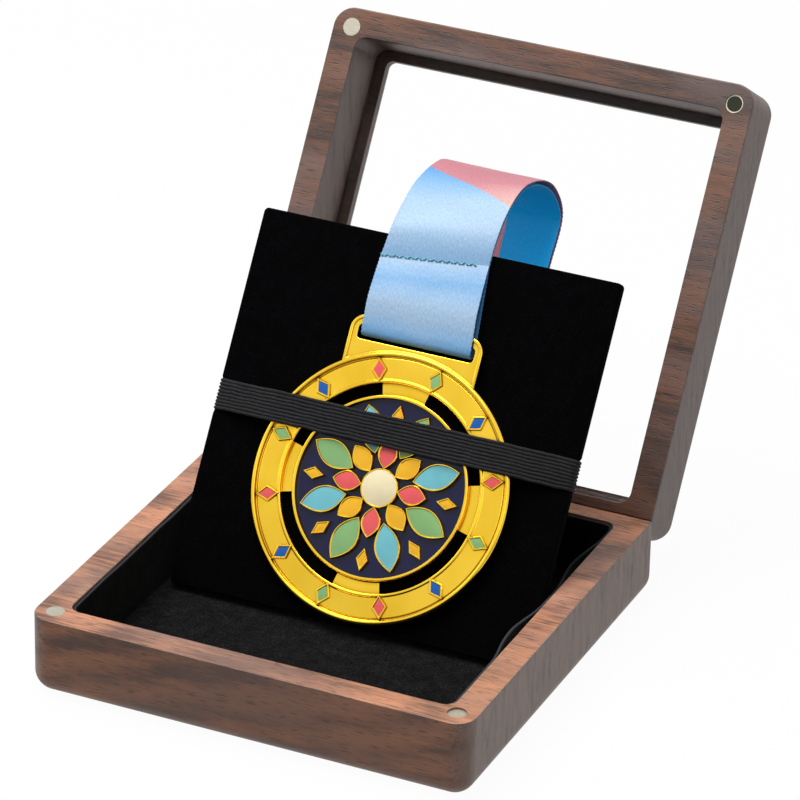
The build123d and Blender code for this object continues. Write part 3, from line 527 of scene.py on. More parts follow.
def velvet(name, colour, sheen, mottle, top_grey=0.0):
    """Black velvet: nearly no gloss, a soft sheen, a mottled nap, and greyer on faces that point up."""
    material, tree = new_material(name)
    brushed = noise_of(tree, mapped(tree), scale=260, detail=5, roughness=0.7)
    fuzz = noise_of(tree, mapped(tree), scale=2600, detail=2, roughness=0.8)
    tone = ramp(tree, brushed, [(0.35, grey(1 - mottle)), (0.7, grey(1 + 2 * mottle))])
    speck = ramp(tree, fuzz, [(0.42, grey(1 - 1.8 * mottle)), (0.62, grey(1 + 3.5 * mottle))])
    upward = arithmetic(tree, "MAXIMUM", parts_of(tree, coordinates(tree, "Normal"))["Z"], 0.0)
    edge = arithmetic(tree, "MULTIPLY", arithmetic(tree, "POWER", upward, 3), top_grey)
    base = mixed(tree, edge, tinted(tree, tinted(tree, colour, tone), speck), paint(74, 74, 77))
    normal = bump(tree, arithmetic(tree, "ADD", fuzz, brushed), 0.00025, 0.8)
    return shaded(material, tree, Base_Color=base, Roughness=1.0, Normal=normal, Specular_IOR_Level=0.03,
                  Sheen_Weight=sheen, Sheen_Roughness=0.5, Sheen_Tint=grey(1.0))


TRAY = (-0.0524, 0.0524, -0.0524, 0.0502)
TRAY_CORNER = 0.0032
WALL_LINING = 0.0008
STRIP_STEP = 0.0015
BULGES = [(-0.012, 0.016, 0.0021), (0.027, 0.015, 0.0019)]
WAVE = 0.00012
TOP_WAVE = 0.00015


def tray_ring(inset, **steps):
    """The tray's inner outline, drawn in by an inset."""
    x0, x1, y0, y1 = TRAY
    return rounded_rectangle(x0 + inset, x1 - inset, y0 + inset, y1 - inset, TRAY_CORNER - inset, **steps)


tray_velvet = velvet("tray velvet", paint(16, 16, 17), 0.03, 0.42)
low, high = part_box("floor_lining")
floor_sections = ((0.0001, low.z), (0.00005, high.z - 0.0002), (0.0004, high.z))
floor_skin = skin([raised(tray_ring(inset), height) for inset, height in floor_sections])
new_piece("velvet_floor", solid_mesh("velvet_floor", [floor_skin]), tray_velvet, "base",
          ["floor_lining"])

low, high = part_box("wall_lining")
straight = high.z - 0.0002 - low.z
heights = [low.z + straight * share for share in (0.0, 0.35, 0.55, 0.7, 0.82, 0.92, 1.0)]
strip_profile = [(0.0, height) for height in heights] + [(0.0002, high.z), (0.0006, high.z)]
strip_profile += [(WALL_LINING, height) for height in reversed(heights)]
strip_rings = []
for inset, height in strip_profile:
    rise = (height - low.z) / (high.z - low.z)
    ring = []
    for x, y in tray_ring(inset, step=STRIP_STEP):
        pull = WAVE * rise * (1 + noise.noise(Vector((x, y, 0)) * 120))
        for middle, reach, depth in BULGES:
            away = (y - middle) / reach
            if x > 0.05 and abs(away) < 1:
                pull += depth * rise ** 3 * (1 - away * away) ** 2
        on_side = abs(x) > 0.0515
        inward = Vector((-1 if x > 0 else 1, 0)) if on_side else Vector((-x, -y)).normalized()
        lift = TOP_WAVE * noise.noise(Vector((x, y, 1)) * 90) * rise
        ring.append((x + inward.x * pull, y + inward.y * pull, height + lift))
    strip_rings.append(ring)
# The strip is drawn grey on its top edge, where its faces point up.
strip_velvet = velvet("tray velvet strip", paint(16, 16, 17), 0.03, 0.42, top_grey=0.7)
new_piece("velvet_walls", solid_mesh("velvet_walls", [skin(strip_rings, wrap=True)]), strip_velvet, "base",
          ["wall_lining"])


# Velvet board: stiff grey board covered in black velvet, turned in over the back and closed with paper.
# The elastic pulls small nicks into its side edges.
BOARD_LEAN = radians(33)
BOARD_RIGHT = Vector((1, 0, 0))
BOARD_UP = Vector((0, sin(BOARD_LEAN), cos(BOARD_LEAN)))
BOARD_OUT = Vector((0, -cos(BOARD_LEAN), sin(BOARD_LEAN)))
BOARD_FOOT = Vector((1.0, -1.5, 4.3))
BOARD_HALF = 50.0
BOARD_THICKNESS = 3.0
TURN_IN = 8.0
BAND_UP = 50.2
BAND_HALF = 4.0
NICK = 0.55


# Places a mesh that is drawn on the board, in millimetres across it, up it and out of its back.
BOARD = Matrix.Scale(MM, 4) @ Matrix.Translation(BOARD_FOOT) @ turn_to(BOARD_RIGHT, BOARD_UP, BOARD_OUT)

board_outline = []
for x, up_board in rounded_rectangle(-BOARD_HALF, BOARD_HALF, 0, 2 * BOARD_HALF, 1.2, step=1.0):
    if abs(abs(x) - BOARD_HALF) < 0.01:
        depth = min(1.0, max(0.0, (BAND_HALF + 0.4 - abs(up_board - BAND_UP)) / 0.7)) * NICK
        x -= depth * (1 if x > 0 else -1)
    board_outline.append((x, up_board))


def board_loop(inset, out):
    """The board's outline drawn in by an inset at a distance out of its back."""
    share = (BOARD_HALF - inset) / BOARD_HALF
    return [(x * share, BOARD_HALF + (y - BOARD_HALF) * share, out) for x, y in board_outline]


def square_loop(half, out):
    """A square with the same number of points as the board's outline."""
    loop = []
    for x, y in board_outline:
        reach = half / max(abs(x), abs(y - BOARD_HALF))
        loop.append((x * reach, BOARD_HALF + (y - BOARD_HALF) * reach, out))
    return loop


def flecked(name, fineness, detail, dark, light, roughness, relief, strength=0.5):
    """A matt finish flecked between two tones; the fineness is along X, Y and Z."""
    material, tree = new_material(name)
    fleck = noise_of(tree, mapped(tree, scale=fineness), detail=detail)
    tone = ramp(tree, fleck, [(0.3, dark), (0.7, light)])
    normal = bump(tree, fleck, relief, strength)
    return shaded(material, tree, Base_Color=tone, Roughness=roughness, Normal=normal)


board_velvet = velvet("board velvet", paint(3, 3, 4), 0.0, 0.3)
board_loops = [square_loop(BOARD_HALF - TURN_IN, 0.6), square_loop(BOARD_HALF - TURN_IN, 0.0)]
for inset, out in ((0.5, 0.0), (0.15, 0.15), (0.0, 0.5), (0.0, 2.45), (0.12, 2.78), (0.35, 2.95), (0.7, 3.0)):
    board_loops.append(board_loop(inset, out))
board_mesh = solid_mesh("velvet_board", [skin(board_loops)], BOARD)
new_piece("velvet_board", board_mesh, board_velvet, "board", ["board_velvet"])

black_paper = flecked("black paper", (900, 900, 900), 4, paint(16, 16, 17), paint(26, 26, 28), 0.75, 0.00004)
finish_node("board_backing", black_paper)
finish_node("board_core", black_paper)


# Easel: a black card frame hinged behind the board, with two steel leaves and a steel pin.
# Its foot stands in the angle of the tray and folds flat under the board.
black_card = flecked("black card", (300, 900, 900), 4, paint(14, 14, 15), paint(24, 24, 25), 0.8, 0.00005)
finish_node("easel", black_card)


# Elastic band: nine rubber cords side by side under black braid, glued under the board at both ends.
# It wraps the side edges and runs straight over the medal, pressing it to the board.
def new_tree(name, **kinds):
    """A geometry node tree that takes a mesh, the named numbers and a finish: (tree, its inputs)."""
    tree = bpy.data.node_groups.new(name, "GeometryNodeTree")
    tree.is_modifier = True
    for key, kind in {"Geometry": "Geometry", **kinds, "Finish": "Material"}.items():
        tree.interface.new_socket(name=key.replace("_", " "), in_out="INPUT", socket_type=f"NodeSocket{kind}")
    tree.interface.new_socket(name="Geometry", in_out="OUTPUT", socket_type="NodeSocketGeometry")
    return tree, add_node(tree, "NodeGroupInput").outputs


def close_tree(tree, geometry, finish):
    """Ends a tree with whole meshes that have their finish."""
    realized = add_node(tree, "GeometryNodeRealizeInstances", {"Geometry": geometry})
    painted = add_node(tree, "GeometryNodeSetMaterial", {"Geometry": realized.outputs[0], "Material": finish})
    add_node(tree, "NodeGroupOutput", {"Geometry": painted.outputs[0]})
    return tree


def along(tree, axis, value):
    """A vector along one axis."""
    return add_node(tree, "ShaderNodeCombineXYZ", {axis: value}).outputs[0]


def centred_row(tree, axis, count, pitch, width):
    """Points in a row along an axis, with the origin in the middle."""
    first = along(tree, axis, arithmetic(tree, "MULTIPLY", width, -0.5))
    inputs = {"Count": count, "Start Location": first, "Offset": along(tree, axis, pitch)}
    return add_node(tree, "GeometryNodeMeshLine", inputs).outputs[0]


def copies(tree, points, element, angle=None):
    """Copies of an element on points, each turned about Z by its angle."""
    inputs = {"Points": points, "Instance": element}
    if angle is not None:
        turn = add_node(tree, "FunctionNodeEulerToRotation", {0: along(tree, "Z", angle)})
        inputs["Rotation"] = turn.outputs[0]
    return add_node(tree, "GeometryNodeInstanceOnPoints", inputs).outputs[0]


def grown(name, mesh, tree, **inputs):
    """The plain mesh that a node tree makes from a mesh."""
    source = linked(name, mesh)
    modifier = source.modifiers.new(name, "NODES")
    modifier.node_group = tree
    sockets = [item for item in tree.interface.items_tree if item.in_out == "INPUT"]
    identifiers = {item.name: item.identifier for item in sockets}
    for key, value in inputs.items():
        modifier[identifiers[key.replace("_", " ")]] = value
    result = applied(source)
    result.name = name
    return result


def bent_line(corners, radius, step=0.8):
    """A line through corners in a plane, each corner rounded, with points at about an even step."""
    line = [Vector(corners[0])]
    for before, corner, after in zip(corners, corners[1:], corners[2:]):
        before, corner, after = Vector(before), Vector(corner), Vector(after)
        inward = (before - corner).normalized()
        outward = (after - corner).normalized()
        room = min(radius, 0.45 * (before - corner).length, 0.45 * (after - corner).length)
        for i in range(7):
            t = i / 6
            a, b = corner + inward * room * (1 - t), corner + outward * room * t
            line.append(a * (1 - t) + b * t)
    line.append(Vector(corners[-1]))
    even = [line[0]]
    for start, end in zip(line, line[1:]):
        count = max(1, round((end - start).length / step))
        even += [start.lerp(end, (i + 1) / count) for i in range(count)]
    return even


BAND_CORDS = 9
CORD_PITCH = 0.89
CORD_RADIUS = 0.47
MEDAL_X = 1.0
RIM_TOP = 6.3
BAND_BEND = 33.2
BAND_TAB = 12.0

tree, given = new_tree("elastic cords", Cords="Int", Pitch="Float", Radius="Float", Waviness="Float")
route = add_node(tree, "GeometryNodeMeshToCurve", {"Mesh": given["Geometry"]}).outputs["Curve"]
gaps = arithmetic(tree, "SUBTRACT", given["Cords"], 1)
width = arithmetic(tree, "MULTIPLY", gaps, given["Pitch"])
row = centred_row(tree, "Y", given["Cords"], given["Pitch"], width)
cords = add_node(tree, "GeometryNodeRealizeInstances", {"Geometry": copies(tree, row, route)}).outputs[0]
spot = add_node(tree, "GeometryNodeInputPosition").outputs[0]
waves = add_node(tree, "ShaderNodeTexNoise", {"Vector": spot, "Scale": 0.22, "Detail": 1.0}).outputs["Color"]
centred = vector_math(tree, "ADD", waves, (-0.5, -0.5, -0.5))
wave = vector_math(tree, "MULTIPLY", centred, along(tree, "Y", given["Waviness"]))
cords = add_node(tree, "GeometryNodeSetPosition", {"Geometry": cords, "Offset": wave}).outputs[0]
section = add_node(tree, "GeometryNodeCurvePrimitiveCircle", {"Resolution": 10, "Radius": given["Radius"]})
tubes = add_node(tree, "GeometryNodeCurveToMesh",
                 {"Curve": cords, "Profile Curve": section.outputs[0], "Fill Caps": True}).outputs[0]
elastic_tree = close_tree(tree, tubes, given["Finish"])

material, tree = new_material("black elastic")
braid = noise_of(tree, mapped(tree, scale=(1500, 3200, 3200)), detail=3, roughness=0.7)
wear = noise_of(tree, mapped(tree), scale=180, detail=3)
tone = ramp(tree, braid, [(0.3, paint(12, 12, 14)), (0.55, paint(32, 32, 34)), (0.8, paint(60, 60, 63))])
tone = tinted(tree, tone, ramp(tree, wear, [(0.3, grey(0.8)), (0.7, grey(1.15))]))
black_elastic = shaded(material, tree, Base_Color=tone, Roughness=0.85, Specular_IOR_Level=0.25,
                       Normal=bump(tree, braid, 0.00008, 0.7))

edge = BOARD_HALF - 0.5
lift = CORD_RADIUS * 0.92
wrap = edge + lift * 0.7
left_half, right_half = [
    [(side * (edge - BAND_TAB), 0, -lift), (side * wrap, 0, -lift), (side * wrap, 0, BOARD_THICKNESS + 0.1),
     (MEDAL_X + side * BAND_BEND, 0, RIM_TOP + lift)]
    for side in (-1, 1)
]
band_line = bent_line(left_half + right_half[::-1], 1.2)
band_route = bpy.data.meshes.new("band_route")
band_route.from_pydata(band_line, [(i, i + 1) for i in range(len(band_line) - 1)], [])
band_mesh = grown("elastic", band_route, elastic_tree, Cords=BAND_CORDS, Pitch=CORD_PITCH, Radius=CORD_RADIUS,
                  Waviness=0.5, Finish=black_elastic)
band_mesh.transform(BOARD @ Matrix.Translation((0, BAND_UP, 0)))
smooth_by_angle(band_mesh, radians(60))
new_piece("elastic", band_mesh, black_elastic, "board", ["elastic_band"])


# Medal body: die-cast zinc, gilded: a wide rim with a bright outer bead, a pierced ring and a sunk field.
# A plate with a slot for the ribbon is cast in one with it, behind the rim.
MEDAL_UP = 35.9
PLATE_HALF = 18.4
PLATE_TOP = 42.4
PLATE_CORNER = 4.0
SLOT_HALF = 16.2
SLOT_LOW = 36.0
SLOT_HIGH = 39.8
PIERCED_INNER = 24.1
PIERCED_OUTER = 26.9
PLATE_FOOT = 34.3
BRIDGE_ARC = radians(28)
BRIDGE_TOP = 1.5
FIELD_FLOOR = 0.8
MEDAL = BOARD @ Matrix.Translation((MEDAL_X, MEDAL_UP, BOARD_THICKNESS))

material, tree = new_material("bright gold")
fine = noise_of(tree, mapped(tree, scale=(1500, 2600, 2600), turn=(0.3, 0.2, 0.7)), detail=3, roughness=0.7)
cloud = noise_of(tree, mapped(tree), scale=70, detail=2)
tone = ramp(tree, cloud, [(0.3, paint(250, 208, 66)), (0.7, paint(236, 190, 48))])
# Painted shade: the gold turns dark brown in its hollows and grooves.
tone = tinted(tree, tone, painted_crevice_shade(tree, 0.0014, [(0.3, paint(112, 62, 10)), (0.82, grey(1.0))]))
gloss = arithmetic(tree, "MULTIPLY_ADD", fine, 0.05, 0.13)
normal = bump(tree, arithmetic(tree, "MULTIPLY_ADD", cloud, 6.0, fine), 0.000006, 0.6)
gold = shaded(material, tree, Base_Color=tone, Metallic=1.0, Roughness=gloss, Normal=normal)


def circle(radius, steps=48):
    return [(radius * cos(2 * pi * i / steps), radius * sin(2 * pi * i / steps)) for i in range(steps)]


def turned_ring(profile, count=144):
    """A ring turned from a closed profile of (radius, height) points."""
    return skin([raised(circle(radius, count), height) for radius, height in profile], wrap=True)


def rounded_profile(points, radius=0.18, steps=3):
    """A closed profile with each corner rounded."""
    result = []
    for i, corner in enumerate(points):
        corner = Vector(corner)
        before, after = Vector(points[i - 1]), Vector(points[(i + 1) % len(points)])
        room_before = min(radius, 0.45 * (before - corner).length)
        room_after = min(radius, 0.45 * (after - corner).length)
        a = corner + (before - corner).normalized() * room_before
        b = corner + (after - corner).normalized() * room_after
        for j in range(steps + 1):
            t = j / steps
            result.append(tuple(a * (1 - t) ** 2 + corner * 2 * t * (1 - t) + b * t ** 2))
    return result


def bridge(angle):
    """A block of metal that joins the field's ring to the rim."""
    inner, outer = PIERCED_INNER - 0.3, PIERCED_OUTER + 0.3
    section = ((inner, 0), (outer, 0), (outer, BRIDGE_TOP), (inner, BRIDGE_TOP))
    angles = [angle + BRIDGE_ARC * (i / 12 - 0.5) for i in range(13)]
    return skin([[(r * cos(a), r * sin(a), z) for r, z in section] for a in angles])


rim_profile = [
    (35.0, 0.0), (35.0, 2.9), (34.5, 3.3), (33.9, 3.25), (33.75, 2.35), (33.35, 2.35), (33.25, 2.6),
    (27.9, 2.6), (27.7, 2.85), (27.1, 2.85), (26.9, 2.3), (26.9, 0.0),
]
field_ring_profile = [(24.1, 0.0), (24.1, 1.6), (23.75, 2.85), (23.0, 2.85), (22.9, 0.0)]
medal_skins = [turned_ring(rounded_profile(rim_profile)), turned_ring(rounded_profile(field_ring_profile))]
medal_skins += [bridge(radians(a)) for a in (0, 90, 180, 270)]
medal_skins.append(skin([raised(circle(23.0, 144), height) for height in (0.0, FIELD_FLOOR)]))
medal_mesh = solid_mesh("medal_gold_body", medal_skins, MEDAL)
new_piece("medal_gold_body", medal_mesh, gold, "board", ["medal_body"])


def flat_outline(name, outlines, bottom, top, rounding, place):
    """A flat plate with rounded edges from closed outlines; an outline inside another is a hole."""
    curve = bpy.data.curves.new(name, "CURVE")
    curve.dimensions = "2D"
    curve.fill_mode = "BOTH"
    curve.extrude = (top - bottom) / 2 - rounding
    curve.bevel_depth = rounding
    curve.bevel_resolution = 2
    curve.offset = -rounding
    for outline in outlines:
        spline = curve.splines.new("POLY")
        spline.points.add(len(outline) - 1)
        for point, (x, y) in zip(spline.points, outline):
            point.co = (x, y, 0, 1)
        spline.use_cyclic_u = True
    mesh = applied(linked(name, curve))
    mesh.transform(place @ Matrix.Translation((0, 0, (top + bottom) / 2)))
    smooth_by_angle(mesh)
    return mesh


def plate_outline(inset):
    """The plate's outline above the rim, drawn in by an inset; its lower edge follows the bead."""
    half, top, corner = PLATE_HALF - inset, PLATE_TOP - inset, PLATE_CORNER - inset
    points = quarter_turn(half - corner, top - corner, corner, 0)
    points += quarter_turn(corner - half, top - corner, corner, 90)
    foot = PLATE_FOOT + inset
    across = [-half + 2 * half * i / 24 for i in range(25)]
    return points + [(x, (foot * foot - x * x) ** 0.5) for x in across]


slot_outline = rounded_rectangle(-SLOT_HALF, SLOT_HALF, SLOT_LOW, SLOT_HIGH, 1.1, step=4.0, arc_steps=5)
plate_mesh = flat_outline("ribbon_plate", [plate_outline(0.0), slot_outline], 0.9, 2.8, 0.15, MEDAL)
new_piece("ribbon_plate", plate_mesh, gold, "board")
border_mesh = flat_outline("plate_border", [plate_outline(0.0), plate_outline(0.9)], 1.2, 3.2, 0.2, MEDAL)
new_piece("plate_border", border_mesh, gold, "board")


# Enamelled rosette: soft enamel poured into gold cells, a generic flower with eight petals and eight leaves.
# Twelve lozenge studs stand round the rim in the same colours, over a navy field.
def enamel(name, colour):
    """Glossy opaque enamel with a hard coat."""
    material, tree = new_material(name)
    cloud = noise_of(tree, mapped(tree), scale=160, detail=2)
    tone = tinted(tree, colour, ramp(tree, cloud, [(0.3, grey(0.94)), (0.7, grey(1.06))]))
    return shaded(material, tree, Base_Color=tone, Roughness=0.2, Specular_IOR_Level=0.3)


def petal_outline(start, end, width, grow=0.0, steps=12):
    """A pointed petal on the +X axis between two radii."""
    length = end - start + 2 * grow
    side = width / 2 + grow
    shares = [i / steps for i in range(steps + 1)]
    upper = [(start - grow + length * t, side * 4 * t * (1 - t)) for t in shares]
    return upper + [(x, -y) for x, y in reversed(upper[1:-1])]


def lozenge_outline(ring, length, width, grow=0.0):
    """A four-sided stud with its long diagonal along the radius."""
    a = length / 2 + grow * hypot(length, width) / width
    b = width / 2 + grow * hypot(length, width) / length
    return [(ring - a, 0), (ring, b), (ring + a, 0), (ring, -b)]


def cell_wall(outer, inner, bottom, top):
    """A gold wall between two outlines, with a rounded top."""
    section = ((0, bottom), (0, top - 0.18), (0.25, top), (0.7, top), (1, top - 0.15), (1, bottom))
    loops = []
    for share, height in section:
        line = [(a[0] + (b[0] - a[0]) * share, a[1] + (b[1] - a[1]) * share) for a, b in zip(outer, inner)]
        loops.append(raised(line, height))
    return skin(loops, wrap=True)


def enamel_fill(outline, bottom, edge, dome):
    """Enamel with a slightly domed top inside an outline."""
    cx = sum(x for x, _ in outline) / len(outline)
    cy = sum(y for _, y in outline) / len(outline)
    levels = [(1.02, bottom), (1.02, edge)]
    levels += [(share, edge + dome * (1 - share * share)) for share in (0.85, 0.65, 0.42, 0.2)]
    return skin([[(cx + (x - cx) * share, cy + (y - cy) * share, height) for x, y in outline]
                 for share, height in levels])


tree, given = new_tree("turned ring", Count="Int", First_Angle="Float")
spots = add_node(tree, "GeometryNodePoints", {"Count": given["Count"]}).outputs[0]
number = add_node(tree, "GeometryNodeInputIndex").outputs[0]
step = arithmetic(tree, "DIVIDE", 2 * pi, given["Count"])
angle = arithmetic(tree, "MULTIPLY_ADD", number, step, given["First Angle"])
ring_tree = close_tree(tree, copies(tree, spots, given["Geometry"], angle), given["Finish"])


def ring_piece(name, element, count, first, finish, stands_for=()):
    """Copies of one element turned about the medal's centre, the first at an angle in degrees."""
    mesh = grown(name, solid_mesh(name, [element]), ring_tree, Count=count, First_Angle=radians(first),
                 Finish=finish)
    mesh.transform(MEDAL)
    smooth_by_angle(mesh)
    return new_piece(name, mesh, finish, "board", stands_for)


CELL_WALL = 0.5
CENTRE_RADIUS = 4.6
enamels = {key: enamel(name, paint(*tone)) for key, name, tone in (
    ("navy", "navy enamel", (14, 18, 60)),
    ("coral", "coral enamel", (238, 96, 98)),
    ("yellow", "orange yellow enamel", (248, 186, 40)),
    ("turquoise", "turquoise enamel", (118, 196, 208)),
    ("green", "sage green enamel", (138, 184, 120)),
    ("blue", "royal blue enamel", (22, 92, 178)),
    ("cream", "cream enamel", (246, 232, 190)),
)}

field = solid_mesh("enamel_field", [enamel_fill(circle(22.9, 144), FIELD_FLOOR, 1.45, 0.06)], MEDAL)
new_piece("enamel_field", field, enamels["navy"], "board", ["medal_field"])

# Each cell: its outline and sizes, its wall's foot and top, and its enamel's foot, edge and dome.
CELLS = {
    "petal": (petal_outline, (5.4, 12.6, 4.4), (FIELD_FLOOR, 3.0), (2.2, 2.82, 0.12)),
    "leaf": (petal_outline, (9.4, 21.4, 6.0), (FIELD_FLOOR, 2.7), (1.9, 2.5, 0.14)),
    "dot": (lozenge_outline, (18.6, 4.0, 2.2), (FIELD_FLOOR, 2.6), (1.9, 2.44, 0.08)),
    "stud": (lozenge_outline, (30.4, 4.6, 3.0), (2.2, 3.2), (2.5, 3.03, 0.1)),
}
for cell, count, first in (("petal", 8, 0), ("leaf", 8, 22.5), ("dot", 8, 0), ("stud", 12, 15)):
    outline, sizes, wall, _ = CELLS[cell]
    element = cell_wall(outline(*sizes, CELL_WALL), outline(*sizes), *wall)
    ring_piece(f"{cell}_walls", element, count, first, gold)
for name, cell, count, first, colour, node in (
    ("coral_petals", "petal", 4, 0, "coral", "enamel_petals_coral"),
    ("yellow_petals", "petal", 4, 45, "yellow", "enamel_petals_yellow"),
    ("turquoise_leaves", "leaf", 4, 22.5, "turquoise", "enamel_leaves_turquoise"),
    ("green_leaves", "leaf", 4, 67.5, "green", "enamel_leaves_green"),
    ("yellow_dots", "dot", 8, 0, "yellow", "enamel_dots"),
    ("coral_studs", "stud", 4, 15, "coral", "enamel_studs_coral"),
    ("blue_studs", "stud", 4, 45, "blue", "enamel_studs_blue"),
    ("green_studs", "stud", 4, 75, "green", "enamel_studs_green"),
):
    outline, sizes, _, fill = CELLS[cell]
    element = enamel_fill(outline(*sizes), *fill)
    ring_piece(name, element, count, first, enamels[colour], [node])

centre_line = circle(CENTRE_RADIUS)
centre_wall = cell_wall(circle(CENTRE_RADIUS + CELL_WALL), centre_line, FIELD_FLOOR, 3.0)
new_piece("centre_wall", solid_mesh("centre_wall", [centre_wall], MEDAL), gold, "board")
centre_fill = solid_mesh("cream_centre", [enamel_fill(centre_line, 2.3, 2.9, 0.5)], MEDAL)
new_piece("cream_centre", centre_fill, enamels["cream"], "board", ["enamel_centre"])


# Ribbon: a satin polyester strip 30.4 mm wide, doubled, its end sewn round the plate's bar.
# From the seam both strands arch over the board, fall behind it and lie folded on the floor of the tray.
RIBBON_HALF = 15.2
RIBBON_X = 2.0
RIBBON_THICKNESS = 0.46
CLOTH_STEP = 0.55
SEAM_PUCKER = 2.6


def through(points):
    """A fine line that bends smoothly through the given points."""
    points = [Vector(point) for point in points]
    runs = [(b - a).length for a, b in zip(points, points[1:])]
    slopes = [(b - a) / run for a, b, run in zip(points, points[1:], runs)]
    leads = [slopes[0]]
    for before, after, run_before, run_after in zip(slopes, slopes[1:], runs, runs[1:]):
        leads.append((before * run_after + after * run_before) / (run_before + run_after))
    leads.append(slopes[-1])
    line = []
    for i, run in enumerate(runs):
        for j in range(24):
            t = j / 24
            a, b = points[i] * (1 + 2 * t) * (1 - t) ** 2, points[i + 1] * (3 - 2 * t) * t ** 2
            line.append(a + b + (leads[i] * t * (1 - t) ** 2 - leads[i + 1] * (1 - t) * t ** 2) * run)
    return line + [points[-1]]


def line_length(line):
    return sum((b - a).length for a, b in zip(line, line[1:]))


def middle_line(left, right):
    return [(a + b) / 2 for a, b in zip(left, right)]


def evenly(line, count):
    """The same line as a number of equal steps."""
    lengths = [(b - a).length for a, b in zip(line, line[1:])]
    total = sum(lengths)
    even = []
    i, passed = 0, 0.0
    for j in range(count + 1):
        target = total * j / count
        while i < len(lengths) - 1 and passed + lengths[i] < target:
            passed += lengths[i]
            i += 1
        even.append(line[i].lerp(line[i + 1], min(1.0, (target - passed) / lengths[i])))
    return even


def eased_step(low, high, value):
    """0 below a range, 1 above it and an even swing between."""
    t = min(1.0, max(0.0, (value - low) / (high - low)))
    return t * t * (3 - 2 * t)


def strand(name, left, right, depth, start=0.0, seams=(), parting=0.0, columns=40):
    """A strip of ribbon sunk by a depth under its two edge lines; its UV is across and along, in metres."""
    count = len(left)
    middle = middle_line(left, right)
    travel = start
    rows = []
    for i, (a, b) in enumerate(zip(left, right)):
        if i:
            travel += (middle[i] - middle[i - 1]).length
        before, after = max(i - 1, 0), min(i + 1, count - 1)
        tangent = (middle[after] - middle[before]).normalized()
        out = (b - a).normalized().cross(tangent).normalized()
        apart = parting * eased_step(26, 46, travel) * (1 - eased_step(74, 96, travel))
        row = []
        for j in range(columns + 1):
            share = j / columns
            x = (2 * share - 1) * RIBBON_HALF
            spot = a.lerp(b, share)
            if j in (0, columns):
                spot = spot + (b - a).normalized() * (0.09 if i % 2 else -0.05) * (1 if j else -1)
            lift = apart - depth + 0.10 * noise.noise(Vector((x * 0.09, travel * 0.09, depth)))
            for seam in seams:
                near = max(0.0, 1 - abs(travel - seam) / SEAM_PUCKER) ** 2
                lift += near * (0.07 * sin(x * 5.4) + 0.08 * noise.noise(Vector((x * 0.7, 3, 0))) - 0.05)
            row.append((x, spot + out * lift, out, travel))
        rows.append(row)
    points, uvs, faces = [], [], []
    for side in (1, -1):
        for row in rows:
            for j, (x, spot, out, v) in enumerate(row):
                half = RIBBON_THICKNESS / 2 * (0.55 if j in (0, columns) else 1.0)
                points.append((spot + out * half * side) * MM)
                uvs.append((x * MM, v * MM))
    width = columns + 1
    other = count * width
    for i in range(count - 1):
        for j in range(columns):
            a, b = i * width + j, (i + 1) * width + j
            faces.append((a, a + 1, b + 1, b))
            faces.append((other + a, other + b, other + b + 1, other + a + 1))
        a, b = i * width, (i + 1) * width
        faces.append((a, b, other + b, other + a))
        a, b = a + columns, b + columns
        faces.append((b, a, other + a, other + b))
    for j in range(columns):
        faces.append((j + 1, j, other + j, other + j + 1))
        a = (count - 1) * width + j
        faces.append((a, a + 1, other + a + 1, other + a))
    mesh = bpy.data.meshes.new(name)
    mesh.from_pydata(points, [], faces)
    layer = mesh.uv_layers.new(name="cloth")
    for loop in mesh.loops:
        layer.data[loop.index].uv = uvs[loop.vertex_index]
    smooth_by_angle(mesh, radians(50))
    return mesh


# Painted light on the satin: the palest blue and the peach are painted highlights, the deepest blue and the
# dark back blue painted shade.
LIT_BLUE = paint(161, 190, 219)
MID_BLUE = paint(118, 170, 216)
SHADED_BLUE = paint(78, 146, 212)
BACK_BLUE = paint(14, 158, 226)
BACK_SHADED = paint(4, 108, 162)
ROSE = paint(196, 128, 138)
LIT_PINK = paint(214, 172, 164)
PRINT_BLUR = 0.0003


def satin(name, near, far, turn_at, slant, span, glow=0.0):
    """Satin printed in two colours parted by a slanted line; lengths in metres.
    Near and far are painted light and shade along the ribbon, one on each side of the line.

    The glow stands for light that comes through the cloth.
    """
    material, tree = new_material(name)
    place = parts_of(tree, coordinates(tree, "UV"))
    sway = noise_of(tree, mapped(tree, scale=(60, 60, 1), source="UV"))
    way = spread(tree, swung(tree, sway, 0.006, place["Y"]), *span)
    line = arithmetic(tree, "MULTIPLY_ADD", place["X"], slant, place["Y"])
    past = arithmetic(tree, "SUBTRACT", line, turn_at)
    share = arithmetic(tree, "DIVIDE", past, PRINT_BLUR * max(1.0, abs(slant)))
    share = add_node(tree, "ShaderNodeClamp", {0: share}).outputs[0]
    colour = mixed(tree, share, ramp(tree, way, near), ramp(tree, way, far))
    weave = noise_of(tree, mapped(tree, scale=(2600, 1000, 1), source="UV"), detail=2, roughness=0.6)
    colour = tinted(tree, colour, ramp(tree, weave, [(0.3, grey(0.84)), (0.7, grey(1.12))]))
    return shaded(material, tree, Base_Color=colour, Roughness=0.45, Specular_IOR_Level=0.4, Anisotropic=0.5,
                  Sheen_Weight=0.08, Sheen_Roughness=0.35, Normal=bump(tree, weave, 0.00004, 0.6),
                  Emission_Color=colour, Emission_Strength=glow)


SEAM_UP = 95.6
CLOTH_BACK = BOARD_THICKNESS + 0.35
CLOTH_FRONT = BOARD_THICKNESS + 3.15
SEAM_FACE = CLOTH_BACK + 0.87
BAR_LOW = MEDAL_UP + SLOT_HIGH
BAR_HIGH = MEDAL_UP + PLATE_TOP
SEAM_SLANT = 1.5
LEFT_SWAY = -0.7
RIGHT_SWAY = -1.7
FRONT_END = 70.1


